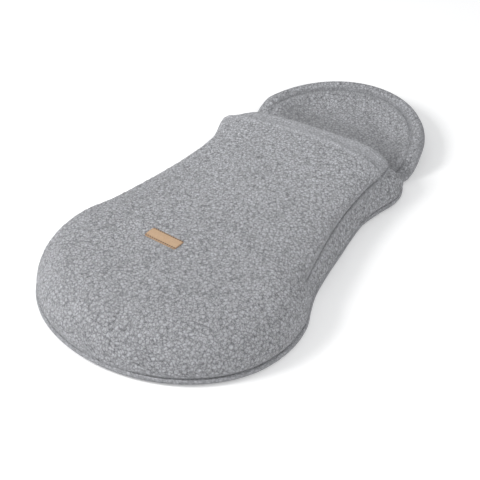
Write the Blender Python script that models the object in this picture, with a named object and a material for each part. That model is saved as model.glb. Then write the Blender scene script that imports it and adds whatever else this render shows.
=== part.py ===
"""Padded sleeping bag for a stroller or carrycot, zipped on both sides.

The bag lies flat: +X is to the right seen from the foot end, +Y runs to the head, +Z is up,
and the origin is on the floor under the middle of the bag. "Along" is measured from the foot.
"""
import math

import bmesh
import bpy
from mathutils import Matrix, Vector

for old_object in list(bpy.data.objects):
    bpy.data.objects.remove(old_object, do_unlink=True)

# Overall sizes, in metres
BAG_LENGTH = 0.805
BAG_WIDTH = 0.420
COVER_HEIGHT = 0.0860
CROWN_RISE = 0.0024
FOOT_ROUND = 0.170
HEAD_ROUND = 0.175
FIT_GAP = 0.0003
LAYER_GAP = 0.0007

# Half width of the bag, as shares of its length and of half its width
BODY_WIDTH_SHARES = (
    (0.000, 0.990), (0.120, 0.990), (0.186, 0.992), (0.236, 1.000), (0.286, 0.970), (0.330, 0.900),
    (0.373, 0.840), (0.435, 0.792), (0.497, 0.757), (0.559, 0.721), (0.609, 0.704), (0.658, 0.733),
    (0.700, 0.770), (0.728, 0.766), (0.750, 0.735), (0.770, 0.690), (0.792, 0.706), (0.820, 0.722),
    (0.860, 0.722), (1.000, 0.722),
)

# Layers of cloth and wadding
SHELL_THICKNESS = 0.0022
COVER_WADDING = 0.0120
LINING_THICKNESS = 0.0020
EDGE_THIN_SHARE = 0.5

# Back panel: a thin seam flange round the body, and a brim that turns up round the head
FLANGE_LIFT = 0.0040
FLANGE_TOP = 0.0115
FLANGE_WIDTH = 0.0135
BODY_EDGE_REACH = 0.015
BODY_SLOPE_WIDTH = 0.025
BACK_THICKNESS = 0.0180
HEAD_LIFT = 0.0240
HEAD_REACH = 0.072
HEAD_EDGE_THICKNESS = 0.0060
HEAD_EDGE_ROUND = 0.016
BRIM_CURVE = 1.5
WADDING_INSET = 0.006
SHOULDER_BLEND = 0.050
BORDER_WIDTH = 0.021
BORDER_OVERLAP = 0.005

# Dome of the cover and the foot pocket
DOME_ROUND = 0.075
DOME_POWER = 2.4
FOLD_SHARE = 0.33168
HEAD_LENGTH = 0.213
HEM_BOW = 0.015
HEM_WIDTH = 0.035
HEM_TURN_UNDER = 0.020
HEM_RAISE = 0.0010
FOLD_AXIS_CLEARANCE = 0.0005

# Ring places of the foot pocket, from its edge seam to its middle
FOOT_RING_SHARES = (0.0, 0.01, 0.04, 0.10, 0.19, 0.31, 0.45, 0.68, 1.0)
FOOT_STRAIGHT_STEPS = 3

# Zip line: both halves part on one level plane
FLAP_RISE = 0.032
ZIP_TOP_INSET = 0.0240
ZIP_BEND_INSET = 0.0075
ZIP_STRAIGHT_SPARE = 0.002
SIDE_END_INSET = 0.010
SIDE_DROP_LENGTH = 0.034
SIDE_END_HEIGHT = 0.0080
SIDE_STRAIGHT_POWER = 1.15
LIP_GAP = 0.0012
CHAMBER_HALF_HEIGHT = 0.0052

# Zip parts, placed from the zip line inwards
COIL_DEPTH = 0.0050
COIL_THICKNESS = 0.0018
COIL_HEIGHT = 0.0015
COIL_HALF_GAP = 0.0006
TAPE_THICKNESS = 0.0006
ZIP_START_INSET = 0.0088
STOP_LENGTH = 0.0030
STOP_HALF_THICKNESS = 0.0020
STOP_HALF_HEIGHT = 0.0034
SLIDER_LENGTH = 0.0120
SLIDER_HEM_INSET = 0.015
SLIDER_PLATE = 0.0010
SLIDER_HALF_HEIGHT = 0.0034
SLIDER_WEB_LENGTH = 0.0050
SLIDER_COIL_CLEARANCE = 0.0004
SLIDER_TRAVEL = 0.090
LUG_LENGTH = 0.0036
LUG_HALF_HEIGHT = 0.0008
POST_OFFSET = 0.0036
POST_RADIUS = 0.0009
POST_HEAD_RADIUS = 0.0016
POST_HEAD_THICKNESS = 0.0007
PULLER_THICKNESS = 0.0012
PULLER_EYE_RADIUS = 0.0027
PULLER_EYE_CLEARANCE = 0.0003
PULLER_LENGTH = 0.0190
PULLER_END_WIDTH = 0.0044

# Leather label on the foot pocket
LABEL_LENGTH = 0.0590
LABEL_WIDTH = 0.0220
LABEL_THICKNESS = 0.0015
LABEL_ACROSS = -0.028
LABEL_FOLD_INSET = 0.0640
THREAD_INSET = 0.0022
THREAD_DIAMETER = 0.0007

# Harness slots through the back
SLOT_LENGTH = 0.050
SLOT_WIDTH = 0.008
BINDING_WALL = 0.0016
BINDING_FLANGE = 0.0030
BINDING_FLANGE_HEIGHT = 0.0010
CROTCH_SLOT_ALONG = 0.300
WAIST_SLOT_ALONG = 0.365
WAIST_SLOT_ACROSS = 0.085
SHOULDER_SLOT_BEYOND_HEM = 0.014
SHOULDER_SLOT_ACROSS = 0.058

# Mesh counts
TIP_STEPS = 6
BODY_STEPS = 12
SHOULDER_STEPS = 4
FLAP_ROWS = 7
HEM_ARC_STEPS = 3
FLAP_COLUMNS = 16
SIDE_STATIONS = 9
SIDE_LEVELS = 6
SIDE_DROP_STATIONS = 4
LABEL_STEPS = 10
ZIP_STEP_LENGTH = 0.027
ROUND_SEGMENTS = 12
OVERRUN = 0.002
MERGE_DISTANCE = 0.000001
SHARP_ANGLE_DEGREES = 50

# Sizes worked out from those above
BASE_HEIGHT = FLANGE_TOP + FIT_GAP
DOME_RISE = COVER_HEIGHT - BASE_HEIGHT
ZIP_HEIGHT = COVER_HEIGHT - FLAP_RISE
WADDING_DEPTH = SHELL_THICKNESS + LAYER_GAP
LINING_DEPTH = WADDING_DEPTH + COVER_WADDING + LAYER_GAP
COVER_DEPTH = LINING_DEPTH + LINING_THICKNESS
SPINE_FOOT = FOOT_ROUND
FOLD_ALONG = BAG_LENGTH * FOLD_SHARE
LABEL_ALONG = FOLD_ALONG - LABEL_FOLD_INSET
SPINE_HEAD = BAG_LENGTH - HEAD_ROUND
HEM_MIDDLE_ALONG = BAG_LENGTH - HEAD_LENGTH
HEM_SIDE_ALONG = HEM_MIDDLE_ALONG - HEM_BOW
SIDE_END_ALONG = SPINE_HEAD - SIDE_END_INSET
SIDE_DROP_ALONG = SIDE_END_ALONG - SIDE_DROP_LENGTH
BORDER_FIRST = SPINE_HEAD - BORDER_OVERLAP
SHOULDER_SLOT_ALONG = HEM_MIDDLE_ALONG + SHOULDER_SLOT_BEYOND_HEM
SLIDER_PARK_ALONG = HEM_SIDE_ALONG - SLIDER_HEM_INSET
ZIP_BEND_ALONG = SLIDER_PARK_ALONG - SLIDER_TRAVEL - ZIP_STRAIGHT_SPARE
FOLD_AXIS_HEIGHT = COVER_HEIGHT + CROWN_RISE + FOLD_AXIS_CLEARANCE


def clamp(value, low=0.0, high=1.0):
    return max(low, min(high, value))


def mix(first, second, share):
    return first + (second - first) * share


def ease(share):
    share = clamp(share)
    return share * share * (3 - 2 * share)


def table_value(shares, share):
    """Smooth curve through a table of (place, value) pairs."""
    last = len(shares) - 1
    index = 0
    while index < last - 1 and share > shares[index + 1][0]:
        index += 1
    before = shares[max(index - 1, 0)]
    start = shares[index]
    end = shares[index + 1]
    after = shares[min(index + 2, last)]
    span = end[0] - start[0]
    t = clamp((share - start[0]) / span)
    slope_start = (end[1] - before[1]) / (end[0] - before[0]) * span
    slope_end = (after[1] - start[1]) / (after[0] - start[0]) * span
    square, cube = t * t, t * t * t
    return (
        start[1] * (2 * cube - 3 * square + 1) + slope_start * (cube - 2 * square + t)
        + end[1] * (3 * square - 2 * cube) + slope_end * (cube - square)
    )


def round_end(share):
    """Half width of a round end, as a share, at a share of its radius from the tip."""
    return math.sqrt(1 - (1 - clamp(share)) ** 2)


def half_width(along):
    body = table_value(BODY_WIDTH_SHARES, along / BAG_LENGTH) * BAG_WIDTH / 2
    return body * round_end(along / FOOT_ROUND) * round_end((BAG_LENGTH - along) / HEAD_ROUND)


def dome_share(share):
    """Height share of the dome at a share of its round from the edge."""
    return (1 - (1 - clamp(share)) ** DOME_POWER) ** (1 / DOME_POWER)


def dome_share_inverse(height_share):
    return 1 - (1 - clamp(height_share) ** DOME_POWER) ** (1 / DOME_POWER)


ZIP_DOME_SHARE = dome_share_inverse((ZIP_HEIGHT - BASE_HEIGHT) / DOME_RISE)
FOLD_INSET = DOME_ROUND * ZIP_DOME_SHARE
ZIP_BEND_HALF_WIDTH = half_width(ZIP_BEND_ALONG) - ZIP_BEND_INSET
ZIP_TOP_HALF_WIDTH = half_width(HEM_MIDDLE_ALONG) - ZIP_TOP_INSET
ZIP_SLOPE = (ZIP_BEND_HALF_WIDTH - ZIP_TOP_HALF_WIDTH) / (ZIP_BEND_ALONG - HEM_MIDDLE_ALONG)


def zip_half_width(along):
    """The zip runs straight near the hem, then swings out to the edge at the fold."""
    if along >= ZIP_BEND_ALONG:
        return ZIP_BEND_HALF_WIDTH + ZIP_SLOPE * (along - ZIP_BEND_ALONG)
    fold_half = half_width(FOLD_ALONG) - FOLD_INSET
    span = ZIP_BEND_ALONG - FOLD_ALONG
    t = clamp((along - FOLD_ALONG) / span)
    end_slope = ZIP_SLOPE * span
    start_slope = 3 * (ZIP_BEND_HALF_WIDTH - fold_half) / 2 - end_slope / 2
    square, cube = t * t, t * t * t
    return (
        fold_half * (2 * cube - 3 * square + 1) + start_slope * (cube - 2 * square + t)
        + ZIP_BEND_HALF_WIDTH * (3 * square - 2 * cube) + end_slope * (cube - square)
    )


def place(across, along, height):
    return Vector((across, along - BAG_LENGTH / 2, height))


def outer_height(edge_distance, crown_share):
    """Height of the outer cloth at a distance from the edge seam."""
    top = COVER_HEIGHT + CROWN_RISE * crown_share
    return BASE_HEIGHT + (top - BASE_HEIGHT) * dome_share(edge_distance / DOME_ROUND)


def tip_stations(length, steps):
    return [length * (1 - math.cos(math.pi / 2 * i / steps)) for i in range(steps + 1)]


def even_stations(start, end, steps):
    return [mix(start, end, i / steps) for i in range(steps + 1)]


def body_stations():
    """Stations along the whole bag, close together at both round ends."""
    foot = tip_stations(SPINE_FOOT, TIP_STEPS)
    middle = even_stations(SPINE_FOOT, SPINE_HEAD, BODY_STEPS)[1:]
    shoulder_end = SPINE_HEAD + SHOULDER_BLEND
    shoulder = even_stations(SPINE_HEAD, shoulder_end, SHOULDER_STEPS)[1:]
    head = [BAG_LENGTH - step for step in reversed(tip_stations(HEAD_ROUND, TIP_STEPS))]
    return foot + middle + shoulder + [along for along in head if along > shoulder_end]


def outline(stations):
    """Points round the edge: the right side to the head, then the left side back."""
    right = [(half_width(along), along) for along in stations]
    left = [(-across, along) for across, along in reversed(right)]
    return right + left


def spine_point(along):
    return Vector((0.0, clamp(along, SPINE_FOOT, SPINE_HEAD), 0.0))


def inward(edge, distance):
    """The plan point at a distance in from an edge point, towards the spine."""
    edge_point = Vector((edge[0], edge[1], 0.0))
    spine = spine_point(edge[1])
    reach = (edge_point - spine).length
    if reach == 0:
        return edge_point, 0.0
    share = clamp(distance / reach)
    return edge_point.lerp(spine, share), share * reach


def make_material(name, color, roughness, metallic=0.0):
    material = bpy.data.materials.new(name)
    material.use_nodes = True
    shader = material.node_tree.nodes["Principled BSDF"]
    shader.inputs["Base Color"].default_value = (*color, 1.0)
    shader.inputs["Roughness"].default_value = roughness
    shader.inputs["Metallic"].default_value = metallic
    return material


BOUCLE_GREY = make_material("boucle_grey", (0.34, 0.345, 0.36), 0.95)
WADDING_WHITE = make_material("wadding_white", (0.85, 0.85, 0.83), 0.95)
LINING_GREY = make_material("lining_grey", (0.46, 0.465, 0.48), 0.90)
LEATHER_TAN = make_material("leather_tan", (0.61, 0.38, 0.19), 0.60)
THREAD_BROWN = make_material("thread_brown", (0.16, 0.09, 0.05), 0.80)
TAPE_GREY = make_material("tape_grey", (0.30, 0.305, 0.32), 0.85)
ENAMEL_GREY = make_material("enamel_grey", (0.30, 0.305, 0.32), 0.40, 0.6)


def new_object(name, mesh_data, material):
    mesh = bpy.data.meshes.new(name)
    mesh_data.to_mesh(mesh)
    mesh_data.free()
    piece = bpy.data.objects.new(name, mesh)
    bpy.context.collection.objects.link(piece)
    piece.data.materials.append(material)
    mesh.shade_smooth()
    mesh.set_sharp_from_angle(angle=math.radians(SHARP_ANGLE_DEGREES))
    return piece


def add_grid(mesh_data, points, flip):
    """Faces between the rows of a grid of points; returns the vertices."""
    rows = [[mesh_data.verts.new(point) for point in row] for row in points]
    for row, next_row in zip(rows, rows[1:]):
        for j in range(len(row) - 1):
            near, far = (row[j], row[j + 1], next_row[j + 1]), (row[j], next_row[j + 1], next_row[j])
            for corners in (near, far):
                mesh_data.faces.new(tuple(reversed(corners)) if flip else corners)
    return rows


def finish_solid(mesh_data, name, material):
    bmesh.ops.remove_doubles(mesh_data, verts=mesh_data.verts, dist=MERGE_DISTANCE)
    bmesh.ops.dissolve_degenerate(mesh_data, edges=mesh_data.edges, dist=MERGE_DISTANCE)
    bmesh.ops.recalc_face_normals(mesh_data, faces=mesh_data.faces)
    return new_object(name, mesh_data, material)


def sheet_solid(name, outer, inner, material, walls="ends and sides"):
    """A thick sheet between two grids of points, with walls round its open edges."""
    mesh_data = bmesh.new()
    outer_rows = add_grid(mesh_data, outer, False)
    inner_rows = add_grid(mesh_data, inner, True)
    borders = []
    if "ends" in walls:
        borders.append((outer_rows[0], inner_rows[0]))
        borders.append((outer_rows[-1], inner_rows[-1]))
    if "sides" in walls:
        borders.append(([row[-1] for row in outer_rows], [row[-1] for row in inner_rows]))
    if "sides" in walls or "first" in walls:
        borders.append(([row[0] for row in outer_rows], [row[0] for row in inner_rows]))
    for outer_edge, inner_edge in borders:
        for j in range(len(outer_edge) - 1):
            mesh_data.faces.new(
                (outer_edge[j], outer_edge[j + 1], inner_edge[j + 1], inner_edge[j])
            )
    return finish_solid(mesh_data, name, material)


def box_mesh(low, high):
    """A closed box between two corners, as a fresh bmesh."""
    mesh_data = bmesh.new()
    bmesh.ops.create_cube(mesh_data, size=1.0)
    for vertex in mesh_data.verts:
        vertex.co = Vector(
            mix(low[i], high[i], vertex.co[i] + 0.5) for i in range(3)
        )
    return mesh_data


def cut(piece, cutters):
    """Cut pieces out with exact Booleans; the cutters stay as hidden guides."""
    for index, cutter in enumerate(cutters):
        modifier = piece.modifiers.new(f"cut_{index + 1}", "BOOLEAN")
        modifier.operation = "DIFFERENCE"
        modifier.solver = "EXACT"
        modifier.object = cutter


def hide_guide(guide):
    guide.hide_render = True
    guide.display_type = "WIRE"
    return guide


def head_share(along):
    return ease((along - SPINE_HEAD) / SHOULDER_BLEND)


def back_bottom(distance, along):
    """Underside of the back panel at a distance from its edge."""
    share = head_share(along)
    lift = mix(FLANGE_LIFT, HEAD_LIFT, share)
    reach = mix(BODY_EDGE_REACH, HEAD_REACH, share)
    return lift * (1 - clamp(distance / reach)) ** BRIM_CURVE


def back_top(distance, along):
    """Upper side of the back panel: flat under the side seams, turned up round the head."""
    slope = ease((distance - FLANGE_WIDTH) / BODY_SLOPE_WIDTH)
    body = mix(FLANGE_TOP, BACK_THICKNESS, slope) - back_bottom(distance, 0.0)
    head = mix(HEAD_EDGE_THICKNESS, BACK_THICKNESS, round_end(distance / HEAD_EDGE_ROUND))
    return back_bottom(distance, along) + mix(body, head, head_share(along))


def ring_distances():
    """Ring distances from the edge, the same in every layer so that their facets run alike."""
    near = even_stations(0.0, WADDING_INSET, 1)
    band = even_stations(WADDING_INSET, BORDER_WIDTH, 2)[1:]
    brim = even_stations(BORDER_WIDTH, HEAD_REACH, 2)[1:]
    return near + band + brim + [BAG_WIDTH]


def back_layer(name, inset_of, low_of, high_of, material):
    """One layer of the back panel between two heights, inset from the edge."""
    low_grid, high_grid = [], []
    edge_points = outline(body_stations())
    for edge in edge_points:
        low_row, high_row = [], []
        for ring in ring_distances():
            plan, distance = inward(edge, max(ring, inset_of(edge[1])))
            low_row.append(place(plan.x, plan.y, low_of(distance, edge[1])))
            high_row.append(place(plan.x, plan.y, high_of(distance, edge[1])))
        low_grid.append(low_row)
        high_grid.append(high_row)
    low_grid.append(low_grid[0])
    high_grid.append(high_grid[0])
    return sheet_solid(name, high_grid, low_grid, material, walls="first")


def make_back():
    shell = back_layer(
        "back_shell",
        lambda along: 0.0,
        back_bottom,
        lambda distance, along: back_bottom(distance, along) + SHELL_THICKNESS,
        BOUCLE_GREY,
    )
    wadding = back_layer(
        "back_wadding",
        lambda along: WADDING_INSET,
        lambda distance, along: back_bottom(distance, along) + SHELL_THICKNESS + LAYER_GAP,
        lambda distance, along: back_top(distance, along) - LINING_THICKNESS - LAYER_GAP,
        WADDING_WHITE,
    )
    lining = back_layer(
        "back_lining",
        lambda along: 0.0,
        lambda distance, along: back_top(distance, along) - LINING_THICKNESS,
        back_top,
        BOUCLE_GREY,
    )
    return shell, wadding, lining


def make_head_border():
    """Band of the outer cloth that is turned over the head edge and stitched down."""
    edge_points = [edge for edge in outline(body_stations()) if edge[1] > BORDER_FIRST]
    high_grid, low_grid = [], []
    for edge in edge_points:
        high_row, low_row = [], []
        for ring in ring_distances():
            if ring > BORDER_WIDTH + FIT_GAP:
                break
            plan, distance = inward(edge, ring)
            low = back_top(distance, edge[1]) + LAYER_GAP
            high_row.append(place(plan.x, plan.y, low + SHELL_THICKNESS))
            low_row.append(place(plan.x, plan.y, low))
        high_grid.append(high_row)
        low_grid.append(low_row)
    sheet_solid("head_border", high_grid, low_grid, BOUCLE_GREY)


def foot_point(edge, ring_share, depth):
    """A point of the foot pocket at a depth under its outer cloth."""
    edge_point = Vector((edge[0], edge[1], 0.0))
    spine = spine_point(edge[1])
    reach = (edge_point - spine).length
    plan = spine.lerp(edge_point, (1 - ring_share) * (reach - depth * EDGE_THIN_SHARE) / reach)
    outer = outer_height(ring_share * reach, 1 - (1 - ring_share) ** 2)
    rise = (outer - BASE_HEIGHT) * (DOME_RISE - depth) / DOME_RISE
    return place(plan.x, plan.y, BASE_HEIGHT + rise)


def foot_layer(name, outer_depth, inner_depth, material):
    stations = tip_stations(SPINE_FOOT, TIP_STEPS)
    stations += even_stations(SPINE_FOOT, FOLD_ALONG, FOOT_STRAIGHT_STEPS)[1:]
    right = [(half_width(along), along) for along in stations]
    edges = [(-across, along) for across, along in reversed(right)] + right[1:]

    def grid(depth):
        return [[foot_point(edge, share, depth) for share in FOOT_RING_SHARES] for edge in edges]
    return sheet_solid(name, grid(outer_depth), grid(inner_depth), material, walls="ends and first")


def make_foot_pocket():
    foot_layer("foot_shell", 0.0, SHELL_THICKNESS, BOUCLE_GREY)
    foot_layer("foot_wadding", WADDING_DEPTH, WADDING_DEPTH + COVER_WADDING, WADDING_WHITE)
    foot_layer("foot_lining", LINING_DEPTH, COVER_DEPTH, LINING_GREY)


def column_limit(along, depth, edge_gap):
    """Column at which a layer of the flap comes down to its edge gap over the zip line."""
    rise_share = (edge_gap - LIP_GAP) / (FLAP_RISE - depth - LIP_GAP)
    height_share = (ZIP_HEIGHT + rise_share * FLAP_RISE - BASE_HEIGHT) / DOME_RISE
    inset = DOME_ROUND * dome_share_inverse(height_share) - FOLD_INSET
    return 1 - inset / zip_half_width(along)


def flap_point(along, reach, depth, edge_gap, raised=0.0):
    """A point of the flap: reach runs from -1 at the left zip to 1 at the right zip."""
    limit = column_limit(along, depth, edge_gap)
    column = clamp(reach, -limit, limit)
    zip_half = zip_half_width(along)
    across = column * (zip_half - depth * EDGE_THIN_SHARE)
    edge_distance = (1 - abs(column)) * zip_half + FOLD_INSET
    outer = outer_height(edge_distance, 1 - column * column)
    rise_share = (outer - ZIP_HEIGHT) / FLAP_RISE
    rise = rise_share * (FLAP_RISE - depth - LIP_GAP)
    return place(across, along, ZIP_HEIGHT + LIP_GAP + rise + raised * clamp(rise_share))


def hem_along(column):
    return mix(HEM_MIDDLE_ALONG, HEM_SIDE_ALONG, column * column)


def flap_columns():
    """Columns across the flap, closer together near both zips."""
    steps = [i / FLAP_COLUMNS for i in range(FLAP_COLUMNS + 1)]
    return [math.sin(math.pi / 2 * (2 * step - 1)) for step in steps]


def flap_layer(name, outer_depth, inner_depth, edge_gap, end_inset, material):
    """One layer of the flap, from the fold to a distance short of the hem."""
    def grid(depth):
        rows = []
        for i in range(FLAP_ROWS + 1):
            row = []
            for column in flap_columns():
                end = hem_along(column) - end_inset
                along = mix(FOLD_ALONG + FIT_GAP, end, i / FLAP_ROWS)
                row.append(flap_point(along, column, depth, edge_gap))
            rows.append(row)
        return rows
    return sheet_solid(name, grid(outer_depth), grid(inner_depth), material)


def hem_path(skin):
    """Path of the hem band seen from the side, as (distance back from the hem, depth)."""
    radius = COVER_DEPTH / 2 - skin
    path = [(HEM_WIDTH, skin), (HEM_WIDTH / 2, skin)]
    for i in range(2 * HEM_ARC_STEPS + 1):
        angle = math.pi * i / (2 * HEM_ARC_STEPS)
        back = COVER_DEPTH / 2 - radius * math.sin(angle)
        path.append((back, COVER_DEPTH / 2 - radius * math.cos(angle)))
    path.append((HEM_TURN_UNDER, COVER_DEPTH - skin))
    return path


def make_hem_band():
    """The band folded round the top edge of the flap, with a rounded edge."""
    def grid(skin):
        rows = []
        for back, depth in hem_path(skin):
            gap = mix(LIP_GAP, CHAMBER_HALF_HEIGHT, clamp((depth - skin) / WADDING_DEPTH))
            raised = HEM_RAISE * (1 - depth / COVER_DEPTH)
            rows.append([
                flap_point(hem_along(column) - back, column, depth, gap, raised)
                for column in flap_columns()
            ])
        return rows
    sheet_solid("hem_band", grid(0.0), grid(SHELL_THICKNESS), BOUCLE_GREY)


def make_flap():
    flap_layer("flap_shell", 0.0, SHELL_THICKNESS, LIP_GAP, HEM_WIDTH + FIT_GAP, BOUCLE_GREY)
    flap_layer(
        "flap_wadding", WADDING_DEPTH, WADDING_DEPTH + COVER_WADDING,
        CHAMBER_HALF_HEIGHT, COVER_DEPTH / 2 + FIT_GAP, WADDING_WHITE,
    )
    flap_layer(
        "flap_lining", LINING_DEPTH, COVER_DEPTH,
        CHAMBER_HALF_HEIGHT, HEM_TURN_UNDER + FIT_GAP, LINING_GREY,
    )
    make_hem_band()


def side_point(side, along, level, depth, edge_gap):
    """A point of a side panel: level runs from 0 at the edge seam to 1 at the zip."""
    drop = ease((along - SIDE_DROP_ALONG) / (SIDE_END_ALONG - SIDE_DROP_ALONG))
    lip_top = mix(ZIP_HEIGHT - LIP_GAP, BASE_HEIGHT + SIDE_END_HEIGHT, drop)
    layer_top = mix(ZIP_HEIGHT - edge_gap, BASE_HEIGHT + SIDE_END_HEIGHT, drop)
    height = min(mix(BASE_HEIGHT, lip_top, level), layer_top)
    zip_share = (height - BASE_HEIGHT) / (ZIP_HEIGHT - BASE_HEIGHT)
    hem_share = ease((along - FOLD_ALONG) / (ZIP_BEND_ALONG - FOLD_ALONG))
    round_share = dome_share_inverse((height - BASE_HEIGHT) / DOME_RISE) / ZIP_DOME_SHARE
    lean = mix(round_share, zip_share ** SIDE_STRAIGHT_POWER, hem_share)
    edge = half_width(along)
    outer = edge - (edge - zip_half_width(along)) * lean
    thin = mix(EDGE_THIN_SHARE, 1.0, math.sin(math.pi * zip_share))
    return place(side * (outer - depth * thin), along, height)


def side_layer(name, side, outer_depth, inner_depth, edge_gap, material):
    stations = even_stations(FOLD_ALONG + FIT_GAP, SIDE_DROP_ALONG, SIDE_STATIONS)
    stations += even_stations(SIDE_DROP_ALONG, SIDE_END_ALONG, SIDE_DROP_STATIONS)[1:]
    levels = [i / SIDE_LEVELS for i in range(SIDE_LEVELS + 1)]

    def grid(depth):
        return [
            [side_point(side, along, level, depth, edge_gap) for level in levels]
            for along in stations
        ]
    return sheet_solid(name, grid(outer_depth), grid(inner_depth), material)


def make_side(side, word):
    wadding_end = WADDING_DEPTH + COVER_WADDING
    chamber = CHAMBER_HALF_HEIGHT
    side_layer(f"{word}_side_shell", side, 0.0, SHELL_THICKNESS, LIP_GAP, BOUCLE_GREY)
    side_layer(f"{word}_side_wadding", side, WADDING_DEPTH, wadding_end, chamber, WADDING_WHITE)
    side_layer(f"{word}_side_lining", side, LINING_DEPTH, COVER_DEPTH, chamber, LINING_GREY)


def zip_bar(name, side, start, end, low, high, half_thickness, material):
    """A bar that follows the zip line between two heights above it."""
    steps = max(1, round((end - start) / ZIP_STEP_LENGTH))
    outer, inner = [], []
    for along in even_stations(start, end, steps):
        middle = zip_half_width(along) - COIL_DEPTH
        outside = side * (middle + half_thickness)
        inside = side * (middle - half_thickness)
        heights = (ZIP_HEIGHT + low, ZIP_HEIGHT + high)
        outer.append([place(outside, along, height) for height in heights])
        inner.append([place(inside, along, height) for height in heights])
    return sheet_solid(name, outer, inner, material)


def make_zip(side, word):
    """Coils, tapes and stops of one zip; the flap's half ends short of the parked slider."""
    start = FOLD_ALONG + ZIP_START_INSET
    slider_back = SLIDER_PARK_ALONG - SLIDER_LENGTH / 2
    slider_front = SLIDER_PARK_ALONG + SLIDER_LENGTH / 2
    flap_end = slider_back - FIT_GAP
    side_end = slider_front + FIT_GAP
    coil_far = COIL_HALF_GAP + COIL_HEIGHT
    tape_near = coil_far + FIT_GAP
    tape_far = CHAMBER_HALF_HEIGHT - FIT_GAP
    half_coil = COIL_THICKNESS / 2
    half_tape = TAPE_THICKNESS / 2
    for half, end, sign in (("flap", flap_end, 1), ("side", side_end, -1)):
        coil = sorted((sign * COIL_HALF_GAP, sign * coil_far))
        tape = sorted((sign * tape_near, sign * tape_far))
        zip_bar(f"{word}_{half}_coil", side, start, end, *coil, half_coil, ENAMEL_GREY)
        zip_bar(f"{word}_{half}_tape", side, start, end, *tape, half_tape, TAPE_GREY)
    zip_bar(
        f"{word}_top_stop", side, side_end + FIT_GAP, side_end + FIT_GAP + STOP_LENGTH,
        -STOP_HALF_HEIGHT, -FIT_GAP, STOP_HALF_THICKNESS, ENAMEL_GREY,
    )
    zip_bar(
        f"{word}_bottom_stop", side, start - FIT_GAP - STOP_LENGTH, start - FIT_GAP,
        -STOP_HALF_HEIGHT, STOP_HALF_HEIGHT, STOP_HALF_THICKNESS, ENAMEL_GREY,
    )


def union(piece, others):
    """Join overlapping solids into one closed body; the others stay as hidden guides."""
    for index, other in enumerate(others):
        modifier = piece.modifiers.new(f"join_{index + 1}", "BOOLEAN")
        modifier.operation = "UNION"
        modifier.solver = "EXACT"
        modifier.object = hide_guide(other)


def cylinder(name, radius, low, high, material, offset=0.0):
    mesh_data = bmesh.new()
    bmesh.ops.create_cone(
        mesh_data, cap_ends=True, segments=ROUND_SEGMENTS, radius1=radius, radius2=radius,
        depth=high - low,
        matrix=Matrix.Translation((offset, 0.0, (low + high) / 2)),
    )
    return new_object(name, mesh_data, material)


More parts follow.
